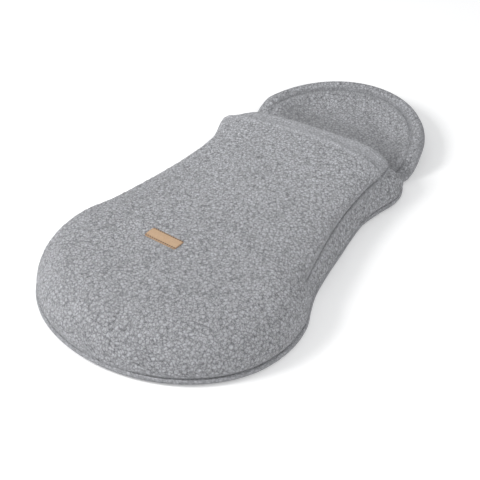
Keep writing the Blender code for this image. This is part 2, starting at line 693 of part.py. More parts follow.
def make_slider(side, word):
    """Slider with two plates round both coils, and a post that carries its puller."""
    inner_face = COIL_THICKNESS / 2 + SLIDER_COIL_CLEARANCE
    outer_face = inner_face + SLIDER_PLATE
    half_length = SLIDER_LENGTH / 2
    post = COIL_DEPTH + POST_OFFSET
    lug_end = post + POST_RADIUS * 2
    web_half_height = COIL_HALF_GAP / 2
    puller_low = LUG_HALF_HEIGHT + FIT_GAP
    puller_high = puller_low + PULLER_THICKNESS
    head_low = puller_high + FIT_GAP

    def block(name, x_low, x_high, half_long, half_high, y_middle=0.0):
        low = (x_low, y_middle - half_long, -half_high)
        high = (x_high, y_middle + half_long, half_high)
        return new_object(name, box_mesh(low, high), ENAMEL_GREY)

    front = block(f"{word}_slider", inner_face, outer_face, half_length, SLIDER_HALF_HEIGHT)
    rear = block(f"{word}_slider_rear_plate", -outer_face, -inner_face, half_length, SLIDER_HALF_HEIGHT)
    web = block(
        f"{word}_slider_web", -outer_face + SLIDER_PLATE / 2, outer_face - SLIDER_PLATE / 2,
        SLIDER_WEB_LENGTH / 2, web_half_height, half_length - SLIDER_WEB_LENGTH,
    )
    lug = block(
        f"{word}_slider_lug", outer_face - SLIDER_PLATE / 2, lug_end,
        LUG_LENGTH / 2, LUG_HALF_HEIGHT,
    )
    pin_top = head_low + POST_HEAD_THICKNESS / 2
    pin = cylinder(f"{word}_slider_post", POST_RADIUS, 0.0, pin_top, ENAMEL_GREY, post)
    cap = cylinder(
        f"{word}_slider_post_head", POST_HEAD_RADIUS, head_low,
        head_low + POST_HEAD_THICKNESS, ENAMEL_GREY, post,
    )
    parts = (web, rear, lug, pin, cap)
    union(front, parts)

    mesh_data = bmesh.new()
    tail = PULLER_LENGTH - PULLER_END_WIDTH / 2
    outline_points = []
    for i in range(ROUND_SEGMENTS + 1):
        angle = math.pi + math.pi * i / ROUND_SEGMENTS
        across, along = math.cos(angle), math.sin(angle)
        outline_points.append((PULLER_EYE_RADIUS * across, PULLER_EYE_RADIUS * along))
    for i in range(ROUND_SEGMENTS // 2 + 1):
        angle = math.pi * 2 * i / ROUND_SEGMENTS
        half_end = PULLER_END_WIDTH / 2
        outline_points.append((half_end * math.cos(angle), tail + half_end * math.sin(angle)))
    lower = [mesh_data.verts.new((x, y, puller_low)) for x, y in outline_points]
    base_face = mesh_data.faces.new(lower)
    raised = bmesh.ops.extrude_face_region(mesh_data, geom=[base_face])
    moved = [item for item in raised["geom"] if isinstance(item, bmesh.types.BMVert)]
    bmesh.ops.translate(mesh_data, verts=moved, vec=(0.0, 0.0, PULLER_THICKNESS))
    puller = finish_solid(mesh_data, f"{word}_puller", ENAMEL_GREY)
    hole = cylinder(
        f"{word}_puller_hole", POST_RADIUS + PULLER_EYE_CLEARANCE,
        puller_low - OVERRUN, puller_high + OVERRUN, ENAMEL_GREY,
    )
    cut(puller, [hide_guide(hole)])

    middle = zip_half_width(SLIDER_PARK_ALONG) - COIL_DEPTH
    park = Matrix.Translation(place(side * middle, SLIDER_PARK_ALONG, ZIP_HEIGHT))
    turn = Matrix.Rotation(-side * math.atan(ZIP_SLOPE), 4, "Z")
    frame = park @ turn @ Matrix.Diagonal((side, 1, 1, 1))
    for part in (front,) + parts:
        part.data.transform(frame)
        if side < 0:
            part.data.flip_normals()
    for part in (puller, hole):
        part.data.transform(frame @ Matrix.Translation((post, 0.0, 0.0)))
        if side < 0:
            part.data.flip_normals()


def label_height(across, along):
    """Height of the foot pocket's top under the label."""
    edge = half_width(along)
    reach = edge - abs(across)
    return outer_height(reach, 1 - (abs(across) / edge) ** 2)


def label_sheet(name, x_low, x_high, y_low, y_high, lift, thickness, material):
    """A thin sheet that follows the top of the foot pocket at a lift over it."""
    outer, inner = [], []
    for i in range(LABEL_STEPS + 1):
        across = mix(x_low, x_high, i / LABEL_STEPS)
        outer_row, inner_row = [], []
        for j in range(3):
            along = mix(y_low, y_high, j / 2)
            height = label_height(across, along) + lift
            outer_row.append(place(across, along, height + thickness))
            inner_row.append(place(across, along, height))
        outer.append(outer_row)
        inner.append(inner_row)
    return sheet_solid(name, outer, inner, material)


def make_label():
    half_length = LABEL_LENGTH / 2
    half_wide = LABEL_WIDTH / 2
    x_low, x_high = LABEL_ACROSS - half_length, LABEL_ACROSS + half_length
    y_low, y_high = LABEL_ALONG - half_wide, LABEL_ALONG + half_wide
    label_sheet(
        "leather_label", x_low, x_high, y_low, y_high, FIT_GAP, LABEL_THICKNESS, LEATHER_TAN
    )
    lift = FIT_GAP + LABEL_THICKNESS + FIT_GAP
    x_low, x_high = x_low + THREAD_INSET, x_high - THREAD_INSET
    rows = {"label_thread_head": y_high - THREAD_INSET, "label_thread_foot": y_low + THREAD_INSET}
    for name, middle in rows.items():
        low, high = middle - THREAD_DIAMETER / 2, middle + THREAD_DIAMETER / 2
        label_sheet(name, x_low, x_high, low, high, lift, THREAD_DIAMETER, THREAD_BROWN)


def slot_outline(length, width, height):
    """A flat slot with round ends, as points."""
    radius = width / 2
    straight = length / 2 - radius
    points = []
    for i in range(ROUND_SEGMENTS + 1):
        angle = -math.pi / 2 + math.pi * i / ROUND_SEGMENTS
        points.append((straight + radius * math.cos(angle), radius * math.sin(angle), height))
    return points + [(-x, -y, z) for x, y, z in points]


def slot_solid(name, length, width, low, high, across, along, material):
    mesh_data = bmesh.new()
    rings = []
    for height in (low, high):
        rings.append([mesh_data.verts.new(point) for point in slot_outline(length, width, height)])
    mesh_data.faces.new(tuple(reversed(rings[0])))
    mesh_data.faces.new(rings[1])
    count = len(rings[0])
    for i in range(count):
        j = (i + 1) % count
        mesh_data.faces.new((rings[0][i], rings[0][j], rings[1][j], rings[1][i]))
    solid = finish_solid(mesh_data, name, material)
    solid.location = place(across, along, 0.0)
    return solid


HARNESS_SLOTS = (
    ("crotch_slot", 0.0, CROTCH_SLOT_ALONG),
    ("left_waist_slot", -WAIST_SLOT_ACROSS, WAIST_SLOT_ALONG),
    ("right_waist_slot", WAIST_SLOT_ACROSS, WAIST_SLOT_ALONG),
    ("left_shoulder_slot", -SHOULDER_SLOT_ACROSS, SHOULDER_SLOT_ALONG),
    ("right_shoulder_slot", SHOULDER_SLOT_ACROSS, SHOULDER_SLOT_ALONG),
)


def make_slots(back_layers):
    """Slots for the harness through the back, each with its bound edge."""
    outer_length = SLOT_LENGTH + 2 * BINDING_WALL
    outer_width = SLOT_WIDTH + 2 * BINDING_WALL
    flange_low = BACK_THICKNESS + FIT_GAP
    flange_high = flange_low + BINDING_FLANGE_HEIGHT
    cutters = []
    for name, across, along in HARNESS_SLOTS:
        cutter = slot_solid(
            f"{name}_cutter", outer_length + 2 * FIT_GAP, outer_width + 2 * FIT_GAP,
            -OVERRUN, BACK_THICKNESS + OVERRUN, across, along, BOUCLE_GREY,
        )
        cutters.append(hide_guide(cutter))
        binding = slot_solid(
            f"{name}_binding", outer_length, outer_width, FIT_GAP, flange_high,
            across, along, TAPE_GREY,
        )
        flange = slot_solid(
            f"{name}_flange", outer_length + 2 * BINDING_FLANGE, outer_width + 2 * BINDING_FLANGE,
            flange_low, flange_high, across, along, TAPE_GREY,
        )
        union(binding, [flange])
        bore = slot_solid(
            f"{name}_bore", SLOT_LENGTH, SLOT_WIDTH, -OVERRUN, flange_high + OVERRUN,
            across, along, TAPE_GREY,
        )
        cut(binding, [hide_guide(bore)])
    for layer in back_layers:
        cut(layer, cutters)


back_layers = make_back()
make_head_border()
make_foot_pocket()
make_flap()
for side, word in ((-1, "left"), (1, "right")):
    make_side(side, word)
    make_zip(side, word)
    make_slider(side, word)
make_label()
make_slots(back_layers)
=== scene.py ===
"""Looks of a padded sleeping bag for a stroller, built round its CAD frame.

Everything is in metres: +X to the right seen from the foot end, +Y to the head, +Z up.
"Along" is measured from the foot end of the bag, "across" from its middle line.
"""

import logging
import math
from dataclasses import dataclass
from enum import Enum
from typing import Callable, Optional, Sequence

import bmesh
import bpy
import numpy as np
from mathutils import Matrix, Vector, kdtree


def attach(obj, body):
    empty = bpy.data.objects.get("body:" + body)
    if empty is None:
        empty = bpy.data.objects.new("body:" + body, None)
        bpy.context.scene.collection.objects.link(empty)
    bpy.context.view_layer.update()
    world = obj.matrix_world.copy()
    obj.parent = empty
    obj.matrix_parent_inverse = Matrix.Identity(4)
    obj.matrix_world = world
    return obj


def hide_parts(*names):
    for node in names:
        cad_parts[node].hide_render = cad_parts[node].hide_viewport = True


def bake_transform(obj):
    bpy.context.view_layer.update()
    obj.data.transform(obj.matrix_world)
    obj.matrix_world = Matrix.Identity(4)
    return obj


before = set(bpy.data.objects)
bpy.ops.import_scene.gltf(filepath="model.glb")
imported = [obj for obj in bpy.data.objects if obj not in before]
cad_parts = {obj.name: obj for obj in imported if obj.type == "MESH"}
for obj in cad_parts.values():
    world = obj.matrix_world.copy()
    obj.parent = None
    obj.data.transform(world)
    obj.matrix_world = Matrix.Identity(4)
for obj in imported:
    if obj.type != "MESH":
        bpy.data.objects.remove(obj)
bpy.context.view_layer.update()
LOG = logging.getLogger("sleeping_bag")
Array = np.ndarray
Socket = bpy.types.NodeSocket

# the leather label: its middle, its turn in degrees and its size
LABEL_ACROSS = -0.028
LABEL_ALONG = 0.203
LABEL_TURN = -5.5
LABEL_LENGTH = 0.059
LABEL_WIDTH = 0.022
# the fleece's curls
CURL_SIZE = 0.0050
CURL_TANGLE = 1.25
# where the lips of the zips part, over which length, and how tight they are before it
LIPS_PART = 0.42
LIPS_REACH = 0.07
LIPS_TIGHT = 0.45
# half the length over which the cover bends at the fold
FOLD_REACH = 0.03


class Side(Enum):
    """The two sides of the bag, seen from the foot end."""

    LEFT = -1
    RIGHT = 1

    @property
    def word(self) -> str:
        """The side's name as the nodes spell it."""
        return self.name.lower()


class ZipHalf(Enum):
    """The two halves of a zip: sewn to the front flap, or to the side panel."""

    FLAP = 1
    PANEL = -1

    @property
    def word(self) -> str:
        """The half's name as the nodes spell it."""
        return "flap" if self is ZipHalf.FLAP else "side"


def mix(first: Array, second: Array, share: Array) -> Array:
    """Blend two values by a share from 0 to 1."""
    return first + (second - first) * share


def ease(share: Array) -> Array:
    """Smooth step of a share, held between 0 and 1."""
    share = np.clip(share, 0.0, 1.0)
    return share * share * (3 - 2 * share)


def bump_at(distance: Array, width: float) -> Array:
    """A soft ridge of height 1 at distance 0."""
    return np.exp(-(distance / width) ** 2)


def quarter_round(share: Array) -> Array:
    """Height of a quarter circle, from 0 at its edge to 1 at its top."""
    return np.sqrt(1 - (1 - np.clip(share, 0, 1)) ** 2)


def curve_between(first: Array, leave: Array, second: Array, arrive: Array, t: Array) -> Array:
    """A cubic from one value to another with a given slope at each end.

    Args:
        first: Value at the start.
        leave: Slope at the start.
        second: Value at the end.
        arrive: Slope at the end.
        t: Shares of the way, from 0 to 1.

    Returns:
        Values of the curve.
    """
    return (first * (2 * t**3 - 3 * t**2 + 1) + leave * (t**3 - 2 * t**2 + t)
            + second * (3 * t**2 - 2 * t**3) + arrive * (t**3 - t**2))


def run_along(steps: Array) -> Array:
    """Length run from the start of each row, from the steps between its points."""
    return np.concatenate((np.zeros(steps.shape[:-1] + (1,)), np.cumsum(steps, axis=-1)), axis=-1)


def lips_open(along: Array) -> Array:
    """How far the lips of the zips part: 0 low on the flap, 1 towards the hem."""
    return ease((along - LIPS_PART) / LIPS_REACH)


# places along the bag, each with the half width there as a share of the half width of the bag
BODY_WIDTHS = np.array((
    (0.000, 0.990), (0.120, 0.990), (0.186, 0.992), (0.236, 1.000), (0.286, 0.970), (0.330, 0.900),
    (0.373, 0.840), (0.435, 0.792), (0.497, 0.757), (0.559, 0.721), (0.609, 0.704), (0.658, 0.733),
    (0.700, 0.770), (0.728, 0.766), (0.750, 0.735), (0.770, 0.690), (0.792, 0.706), (0.820, 0.722),
    (0.860, 0.722), (1.000, 0.722),
))


@dataclass(frozen=True)
class BagSizes:
    """Sizes of the bag and the rules of its surfaces, as in its CAD solids."""

    length: float = 0.805
    width: float = 0.420
    cover_height: float = 0.0860
    crown_rise: float = 0.0024
    foot_round: float = 0.170
    head_round: float = 0.175
    cover_depth: float = 0.0176
    edge_thin: float = 0.5
    base_height: float = 0.0118
    flange_lift: float = 0.0040
    flange_top: float = 0.0115
    flange_width: float = 0.0135
    body_edge_reach: float = 0.015
    body_slope: float = 0.025
    back_thickness: float = 0.0180
    head_lift: float = 0.0240
    head_reach: float = 0.072
    head_edge_thickness: float = 0.0060
    head_edge_round: float = 0.016
    brim_curve: float = 1.5
    shoulder_blend: float = 0.050
    dome_round: float = 0.075
    dome_power: float = 2.4
    fold: float = 0.267
    hem_middle: float = 0.592
    flap_rise: float = 0.032
    zip_top_inset: float = 0.0240
    zip_bend_inset: float = 0.0075
    zip_bend: float = 0.470
    side_end: float = 0.620
    side_drop: float = 0.586
    side_end_height: float = 0.0080
    straight_power: float = 1.15
    lip_gap: float = 0.0012
    coil_depth: float = 0.0050
    seam_ramp: float = 0.024

    @property
    def zip_height(self) -> float:
        """Height of the level plane in which both zips part."""
        return self.cover_height - self.flap_rise

    @property
    def dome_rise(self) -> float:
        """Rise of the cover over its edge seam."""
        return self.cover_height - self.base_height

    @property
    def spine_head(self) -> float:
        """Where the round of the head starts."""
        return self.length - self.head_round

    @property
    def fold_inset(self) -> float:
        """How far the zip line stands in from the edge seam at the fold."""
        return self.dome_round * float(self.dome_inverse(
            (self.zip_height - self.base_height) / self.dome_rise))

    def half_width(self, along: Array) -> Array:
        """Half width of the bag.

        Args:
            along: Places along the bag.

        Returns:
            Half widths of the outline there.
        """
        along = np.asarray(along, dtype=float)
        knots, values = BODY_WIDTHS[:, 0], BODY_WIDTHS[:, 1]
        slopes = np.empty_like(values)
        slopes[1:-1] = (values[2:] - values[:-2]) / (knots[2:] - knots[:-2])
        slopes[0] = (values[1] - values[0]) / (knots[1] - knots[0])
        slopes[-1] = (values[-1] - values[-2]) / (knots[-1] - knots[-2])
        share = along / self.length
        i = np.clip(np.searchsorted(knots, share, side="right") - 1, 0, len(knots) - 2)
        span = knots[i + 1] - knots[i]
        t = np.clip((share - knots[i]) / span, 0.0, 1.0)
        body = curve_between(values[i], slopes[i] * span, values[i + 1], slopes[i + 1] * span, t)
        foot = quarter_round(along / self.foot_round)
        head = quarter_round((self.length - along) / self.head_round)
        return body * self.width / 2 * foot * head

    def dome(self, share: Array) -> Array:
        """Height share of the dome at a share of its round from the edge."""
        return (1 - (1 - np.clip(share, 0, 1)) ** self.dome_power) ** (1 / self.dome_power)

    def dome_inverse(self, height: Array) -> Array:
        """Share of the round at which the dome reaches a height share."""
        return 1 - (1 - np.clip(height, 0, 1) ** self.dome_power) ** (1 / self.dome_power)

    def reach(self, across: Array, along: Array) -> tuple[Array, Array]:
        """Distance from the edge seam, measured towards the spine of the bag.

        Args:
            across: Places across the bag.
            along: Places along the bag.

        Returns:
            The distance from the edge, and the whole distance from the spine to the edge.
        """
        across, along = np.broadcast_arrays(np.abs(across), along)
        whole = self.half_width(along)
        near = across.astype(float).copy()
        for spine, sign, end in ((self.foot_round, 1.0, 0.0), (self.spine_head, -1.0, self.length)):
            tip = (spine - along) * sign > 0
            t = np.linspace(0, 1, 1600)
            stations = mix(end, spine, 1 - np.cos(t * math.pi / 2))
            halves = self.half_width(stations)
            angles = np.arctan2(halves, (spine - stations) * sign)
            radii = np.hypot(halves, spine - stations)
            angle = np.arctan2(across, (spine - along) * sign)
            whole = np.where(tip, np.interp(angle, angles, radii), whole)
            near = np.where(tip, np.hypot(across, spine - along), near)
        return np.maximum(whole - near, 0.0), whole

    def zip_half(self, along: Array) -> Array:
        """Half the distance between the zips: straight near the hem, wider to the fold.

        Args:
            along: Places along the bag.

        Returns:
            Half distances there.
        """
        along = np.asarray(along, dtype=float)
        bend_half = float(self.half_width(self.zip_bend)) - self.zip_bend_inset
        top_half = float(self.half_width(self.hem_middle)) - self.zip_top_inset
        slope = (bend_half - top_half) / (self.zip_bend - self.hem_middle)
        fold_half = float(self.half_width(self.fold)) - self.fold_inset
        span = self.zip_bend - self.fold
        t = np.clip((along - self.fold) / span, 0, 1)
        start_slope = 3 * (bend_half - fold_half) / 2 - slope * span / 2
        curve = curve_between(fold_half, start_slope, bend_half, slope * span, t)
        near_foot = self.half_width(along) - self.fold_inset
        straight = bend_half + slope * (along - self.zip_bend)
        return np.where(along < self.fold, near_foot, np.where(along > self.zip_bend, straight, curve))

    def back_bottom(self, distance: Array, along: Array) -> Array:
        """Underside of the back panel at a distance from its edge.

        Args:
            distance: Distances from the edge seam.
            along: Places along the bag.

        Returns:
            Heights there.
        """
        share = ease((along - self.spine_head) / self.shoulder_blend)
        lift = mix(self.flange_lift, self.head_lift, share)
        reach = mix(self.body_edge_reach, self.head_reach, share)
        return lift * (1 - np.clip(distance / reach, 0, 1)) ** self.brim_curve

    def back_top(self, distance: Array, along: Array) -> Array:
        """Upper side of the back panel: flat under the cover, turned up round the head.

        Args:
            distance: Distances from the edge seam.
            along: Places along the bag.

        Returns:
            Heights there.
        """
        slope = ease((distance - self.flange_width) / self.body_slope)
        body = mix(self.flange_top, self.back_thickness, slope) - self.back_bottom(distance, 0.0)
        head = mix(self.head_edge_thickness, self.back_thickness,
                   quarter_round(distance / self.head_edge_round))
        share = ease((along - self.spine_head) / self.shoulder_blend)
        return self.back_bottom(distance, along) + mix(body, head, share)

    def world(self, across: Array, along: Array, height: Array) -> Array:
        """World points of places on the bag, stacked in the last axis."""
        across, along, height = np.broadcast_arrays(across, along, height)
        return np.stack((across, along - self.length / 2, height), axis=-1)


# Mesh helpers

@dataclass
class Pad:
    """A closed soft body between an outer and an inner grid of points."""

    outer: Array
    inner: Array
    wall_steps: int = 6

    def mesh(self, name: str, values: dict[str, tuple[Array, Array]],
             bulge: Optional[Array] = None) -> bpy.types.Mesh:
        """Build the closed mesh.

        Args:
            name: Name of the mesh.
            values: Point values by attribute name, for the outer and the inner grid.
            bulge: Vector by which the wall swells out at each point of the outer border.

        Returns:
            The mesh, with a float point attribute for each entry of values.
        """
        rows, columns = self.outer.shape[:2]
        count = rows * columns
        order = np.arange(count).reshape(rows, columns)
        border = np.concatenate((order[0, :-1], order[:-1, -1], order[-1, :0:-1], order[:0:-1, 0]))
        size = len(border)
        top = self.outer.reshape(-1, 3)[border]
        low = self.inner.reshape(-1, 3)[border]
        points = [self.outer.reshape(-1, 3), self.inner.reshape(-1, 3)]
        for k in range(1, self.wall_steps):
            angle = math.pi * k / self.wall_steps
            middle = (top + low) / 2 + (top - low) / 2 * math.cos(angle)
            points.append(middle if bulge is None else middle + bulge * math.sin(angle))
        near, far = order[:-1, :-1].ravel(), order[:-1, 1:].ravel()
        next_far, next_near = order[1:, 1:].ravel(), order[1:, :-1].ravel()
        faces = [np.stack((near, far, next_far, next_near), axis=1)]
        faces.append(np.stack((near, next_near, next_far, far), axis=1) + count)
        rings = [border] + [2 * count + k * size + np.arange(size) for k in range(self.wall_steps - 1)]
        rings.append(border + count)
        for upper, lower in zip(rings, rings[1:]):
            faces.append(np.stack((upper, lower, np.roll(lower, -1), np.roll(upper, -1)), axis=1))
        vertices = np.concatenate(points)
        quads = np.concatenate(faces)
        mesh = bpy.data.meshes.new(name)
        mesh.vertices.add(len(vertices))
        mesh.vertices.foreach_set("co", vertices.astype(np.float32).ravel())
        mesh.loops.add(quads.size)
        mesh.loops.foreach_set("vertex_index", quads.astype(np.int32).ravel())
        mesh.polygons.add(len(quads))
        mesh.polygons.foreach_set("loop_start", np.arange(len(quads), dtype=np.int32) * 4)
        mesh.update(calc_edges=True)
        for key, (outer, inner) in values.items():
            wall = inner.ravel()[border]
            every = np.concatenate([outer.ravel(), inner.ravel()] + [wall] * (self.wall_steps - 1))
            attribute = mesh.attributes.new(key, "FLOAT", "POINT")
            attribute.data.foreach_set("value", every.astype(np.float32))
        weld(mesh)
        return mesh


def weld(mesh: bpy.types.Mesh) -> None:
    """Merge doubled points, drop faces without area and turn all faces outwards.

    Args:
        mesh: The mesh, changed in place.
    """
    work = bmesh.new()
    work.from_mesh(mesh)
    closest = 2e-6
    bmesh.ops.remove_doubles(work, verts=work.verts, dist=closest)
    bmesh.ops.dissolve_degenerate(work, edges=work.edges, dist=closest)
    bmesh.ops.recalc_face_normals(work, faces=work.faces)
    if work.calc_volume(signed=True) < 0:
        bmesh.ops.reverse_faces(work, faces=work.faces)
    work.to_mesh(mesh)
    work.free()
    mesh.shade_smooth()


def place_piece(name: str, mesh: bpy.types.Mesh) -> bpy.types.Object:
    """Put a mesh into the scene as a piece at the origin.

    Args:
        name: Name of the piece.
        mesh: Its mesh.

    Returns:
        The piece.
    """
    piece = bpy.data.objects.new(name, mesh)
    bpy.context.scene.collection.objects.link(piece)
    return piece


def even_columns(height: Callable[[Array], Array], half: float, count: int) -> Array:
    """Places across a row, evenly spaced along its surface.

    Args:
        height: Height of the row's surface at places across.
        half: Half width of the row.
        count: Number of columns.

    Returns:
        The places across, from left to right.
    """
    across = half * np.sin(np.linspace(-math.pi / 2, math.pi / 2, 900))
    heights = height(across)
    length = run_along(np.hypot(np.diff(across), np.diff(heights)))
    if length[-1] <= 0:
        return np.zeros(count)
    return np.interp(np.linspace(0, length[-1], count), length, across)


def cloth_rows(stations: Array, columns: int, half: Callable[[float], Array],
               height: Callable[[Array, Array], Array]) -> tuple[Array, Array]:
    """Places of a cloth's points, each row evenly spaced along its surface.

    Args:
        stations: Places of the rows along the bag.
        columns: Number of points in a row.
        half: Half width of the cloth at a place along.
        height: Height of the cloth at places across and along.

    Returns:
        Places across and places along, one row for each station.
    """
    across = np.stack([even_columns(lambda x: height(x, np.full_like(x, along)), float(half(along)), columns)
                       for along in stations])
    return across, np.repeat(stations[:, None], columns, axis=1)


def bend_at_fold(piece: bpy.types.Object) -> None:
    """Bake a piece's placement into its own mesh.

    Args:
        piece: The piece.
    """
    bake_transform(piece)


@dataclass
class Inflation:
    """Blows up a pad a little with a cloth simulation, while its seams are held."""

    pressure: float = 0.4
    frames: int = 20
    step: int = 4
    most: float = 0.0065
    smooth_rounds: int = 6

    def swelling(self, name: str, outer: Array, inner: Array) -> tuple[Array, Array]:
        """How far the points of a pad move when it is filled.

        Args:
            name: Name of the pad.
            outer: Outer grid of points.
            inner: Inner grid of points.

        Returns: Moves of the outer and of the inner points.
        """
        rows, columns = (self.picks(count) for count in outer.shape[:2])
        grid = np.ix_(rows, columns)
        pad = Pad(outer[grid], inner[grid], wall_steps=2)
        held = np.zeros((len(rows), len(columns)))
        held[[0, -1], :] = 1.0
        held[:, [0, -1]] = 1.0
        mesh = pad.mesh(f"{name}_coarse", {"held": (held, held)})
        rest, filled = self.fill(place_piece(f"{name}_coarse", mesh))
        tree = kdtree.KDTree(len(rest))
        for i, point in enumerate(rest):
            tree.insert(point, i)
        tree.balance()
        moves = []
        for points in (pad.outer, pad.inner):
            near = [tree.find(point)[1] for point in points.reshape(-1, 3)]
            move = (filled[near] - rest[near]).reshape(points.shape)
            length = np.linalg.norm(move, axis=2, keepdims=True)
            move = move * np.minimum(1.0, self.most / np.maximum(length, 1e-9))
            moves.append(self.spread(move, rows, columns, outer.shape[:2]))
        return moves[0], moves[1]

    def picks(self, count: int) -> Array:
        """Every few rows of a grid, with the first and the last."""
        return np.unique(np.linspace(0, count - 1, (count - 1) // self.step + 1).round().astype(int))

    def fill(self, piece: bpy.types.Object) -> tuple[Array, Array]:
        """Run the cloth simulation on a coarse pad, and remove the pad.

        Args:
            piece: The pad, with its held points marked.

        Returns:
            Its points before and after.
        """
        mesh = piece.data
        held = [i for i, entry in enumerate(mesh.attributes["held"].data) if entry.value > 0.5]
        piece.vertex_groups.new(name="seam").add(held, 1.0, "REPLACE")
        rest = np.empty(len(mesh.vertices) * 3)
        mesh.vertices.foreach_get("co", rest)
        cloth = piece.modifiers.new("filling", "CLOTH")
        settings = cloth.settings
        settings.quality = 6
        settings.mass = 0.3
        settings.tension_stiffness = 20.0
        settings.compression_stiffness = 20.0
        settings.shear_stiffness = 10.0
        settings.bending_stiffness = 1.0
        settings.use_pressure = True
        settings.uniform_pressure_force = self.pressure
        settings.vertex_group_mass = "seam"
        settings.effector_weights.gravity = 0.0
        cloth.point_cache.frame_end = self.frames
        scene = bpy.context.scene
        for number in range(1, self.frames + 1):
            scene.frame_set(number)
        graph = bpy.context.evaluated_depsgraph_get()
        result = piece.evaluated_get(graph).to_mesh()
        filled = np.empty(len(result.vertices) * 3)
        result.vertices.foreach_get("co", filled)
        piece.evaluated_get(graph).to_mesh_clear()
        bpy.data.objects.remove(piece, do_unlink=True)
        scene.frame_set(1)
        return rest.reshape(-1, 3), filled.reshape(-1, 3)

    def spread(self, move: Array, rows: Array, columns: Array, shape: tuple) -> Array:
        """Spread the moves of a coarse grid over the fine grid, and smooth them.

        Args:
            move: Moves of the coarse grid.
            rows: Its rows in the fine grid.
            columns: Its columns in the fine grid.
            shape: Size of the fine grid.

        Returns:
            Moves of the fine grid.
        """
        tall = np.stack([np.stack([np.interp(np.arange(shape[0]), rows, move[:, j, k])
                                   for j in range(len(columns))], axis=1) for k in range(3)], axis=2)
        full = np.stack([np.stack([np.interp(np.arange(shape[1]), columns, tall[i, :, k])
                                   for i in range(shape[0])], axis=0) for k in range(3)], axis=2)
        for _ in range(self.smooth_rounds):
            full[1:-1] = (full[:-2] + 2 * full[1:-1] + full[2:]) / 4
            full[:, 1:-1] = (full[:, :-2] + 2 * full[:, 1:-1] + full[:, 2:]) / 4
        return full


# Node trees

class NodeBench:
    """Adds and joins the nodes of one tree."""

    def __init__(self, tree: bpy.types.NodeTree) -> None:
        """Start on an empty tree."""
        self.tree = tree
        tree.nodes.clear()

    def add(self, kind: str, values: Optional[dict] = None, **settings: object) -> bpy.types.Node:
        """Add a node.

        Args:
            kind: Blender's name of the node type.
            values: Values or sockets for its inputs, by name or index.
            **settings: Properties of the node.

        Returns:
            The new node.
        """
        node = self.tree.nodes.new(kind)
        for key, value in settings.items():
            setattr(node, key, value)
        for key, value in (values or {}).items():
            socket = node.inputs[key]
            if isinstance(value, Socket):
                self.link(value, socket)
            else:
                socket.default_value = value
        return node

    def link(self, source: Socket, target: Socket) -> None:
        """Join an output to an input."""
        self.tree.links.new(source, target)

    def math(self, operation: str, first: object, second: object = 0.0) -> Socket:
        """A number worked out from one or two others."""
        return self.add("ShaderNodeMath", {0: first, 1: second}, operation=operation).outputs[0]

    def times(self, first: object, second: object) -> Socket:
        """The product of two numbers."""
        return self.math("MULTIPLY", first, second)

    def weighted(self, first: object, weight: float, second: object) -> Socket:
        """The sum of two numbers, the first by its weight and the second by the rest of one."""
        return self.math("ADD", self.times(first, weight), self.times(second, round(1 - weight, 6)))

    def vector(self, operation: str, values: dict) -> Socket:
        """A vector worked out from others."""
        return self.add("ShaderNodeVectorMath", values, operation=operation).outputs[0]

    def attribute(self, name: str, output: str = "Fac") -> Socket:
        """A value kept on the mesh, for a material."""
        return self.add("ShaderNodeAttribute", attribute_name=name).outputs[output]

    def named(self, name: str) -> Socket:
        """A number kept on the mesh, for Geometry Nodes."""
        return self.add("GeometryNodeInputNamedAttribute", {"Name": name}, data_type="FLOAT").outputs[0]

    def group(self, tree: bpy.types.NodeTree, values: dict) -> bpy.types.NodeOutputs:
        """The outputs of a shared group."""
        return self.add("ShaderNodeGroup", values, node_tree=tree).outputs

    def place(self) -> Socket:
        """The place on a rigid piece, in its own frame."""
        return self.add("ShaderNodeTexCoord").outputs["Object"]

    def mix_color(self, share: object, first: object, second: object) -> Socket:
        """A colour between two others."""
        node = self.add("ShaderNodeMix", {0: share, 6: first, 7: second}, data_type="RGBA", blend_type="MIX")
        return node.outputs[2]

    def remap(self, value: object, low: float, high: float, to_low: float = 0.0,
              to_high: float = 1.0) -> Socket:
        """A value moved from one range to another, held inside it.

        Args:
            value: The value.
            low: Start of its range.
            high: End of its range.
            to_low: Start of the new range.
            to_high: End of the new range.

        Returns:
            The value moved.
        """
        node = self.add("ShaderNodeMapRange", {0: value, 1: low, 2: high, 3: to_low, 4: to_high})
        node.clamp = True
        return node.outputs[0]


def new_group(name: str, kind: str, inputs: Sequence[tuple], outputs: Sequence[tuple]) -> tuple:
    """A node group with named sockets.

    Args:
        name: Name of the group.
        kind: Blender's name of the tree type.
        inputs: Name, socket type and value of each input.
        outputs: Name and socket type of each output.

    Returns:
        The tree, its bench, its input node and its output node.
    """
    tree = bpy.data.node_groups.new(name, kind)
    for label, socket_type, value in inputs:
        socket = tree.interface.new_socket(label, in_out="INPUT", socket_type=socket_type)
        if value is not None:
            socket.default_value = value
    for label, socket_type in outputs:
        tree.interface.new_socket(label, in_out="OUTPUT", socket_type=socket_type)
    bench = NodeBench(tree)
    return tree, bench, bench.add("NodeGroupInput"), bench.add("NodeGroupOutput")


def keep_result(piece: bpy.types.Object, modifier: bpy.types.Modifier) -> None:
    """Turn what a modifier makes into the piece's plain mesh, and take the modifier off.

    Args:
        piece: The piece.
        modifier: Its only modifier.
    """
    graph = bpy.context.evaluated_depsgraph_get()
    graph.update()
    result = bpy.data.meshes.new_from_object(piece.evaluated_get(graph), depsgraph=graph)
    piece.modifiers.remove(modifier)
    result.name = piece.name
    piece.data = result


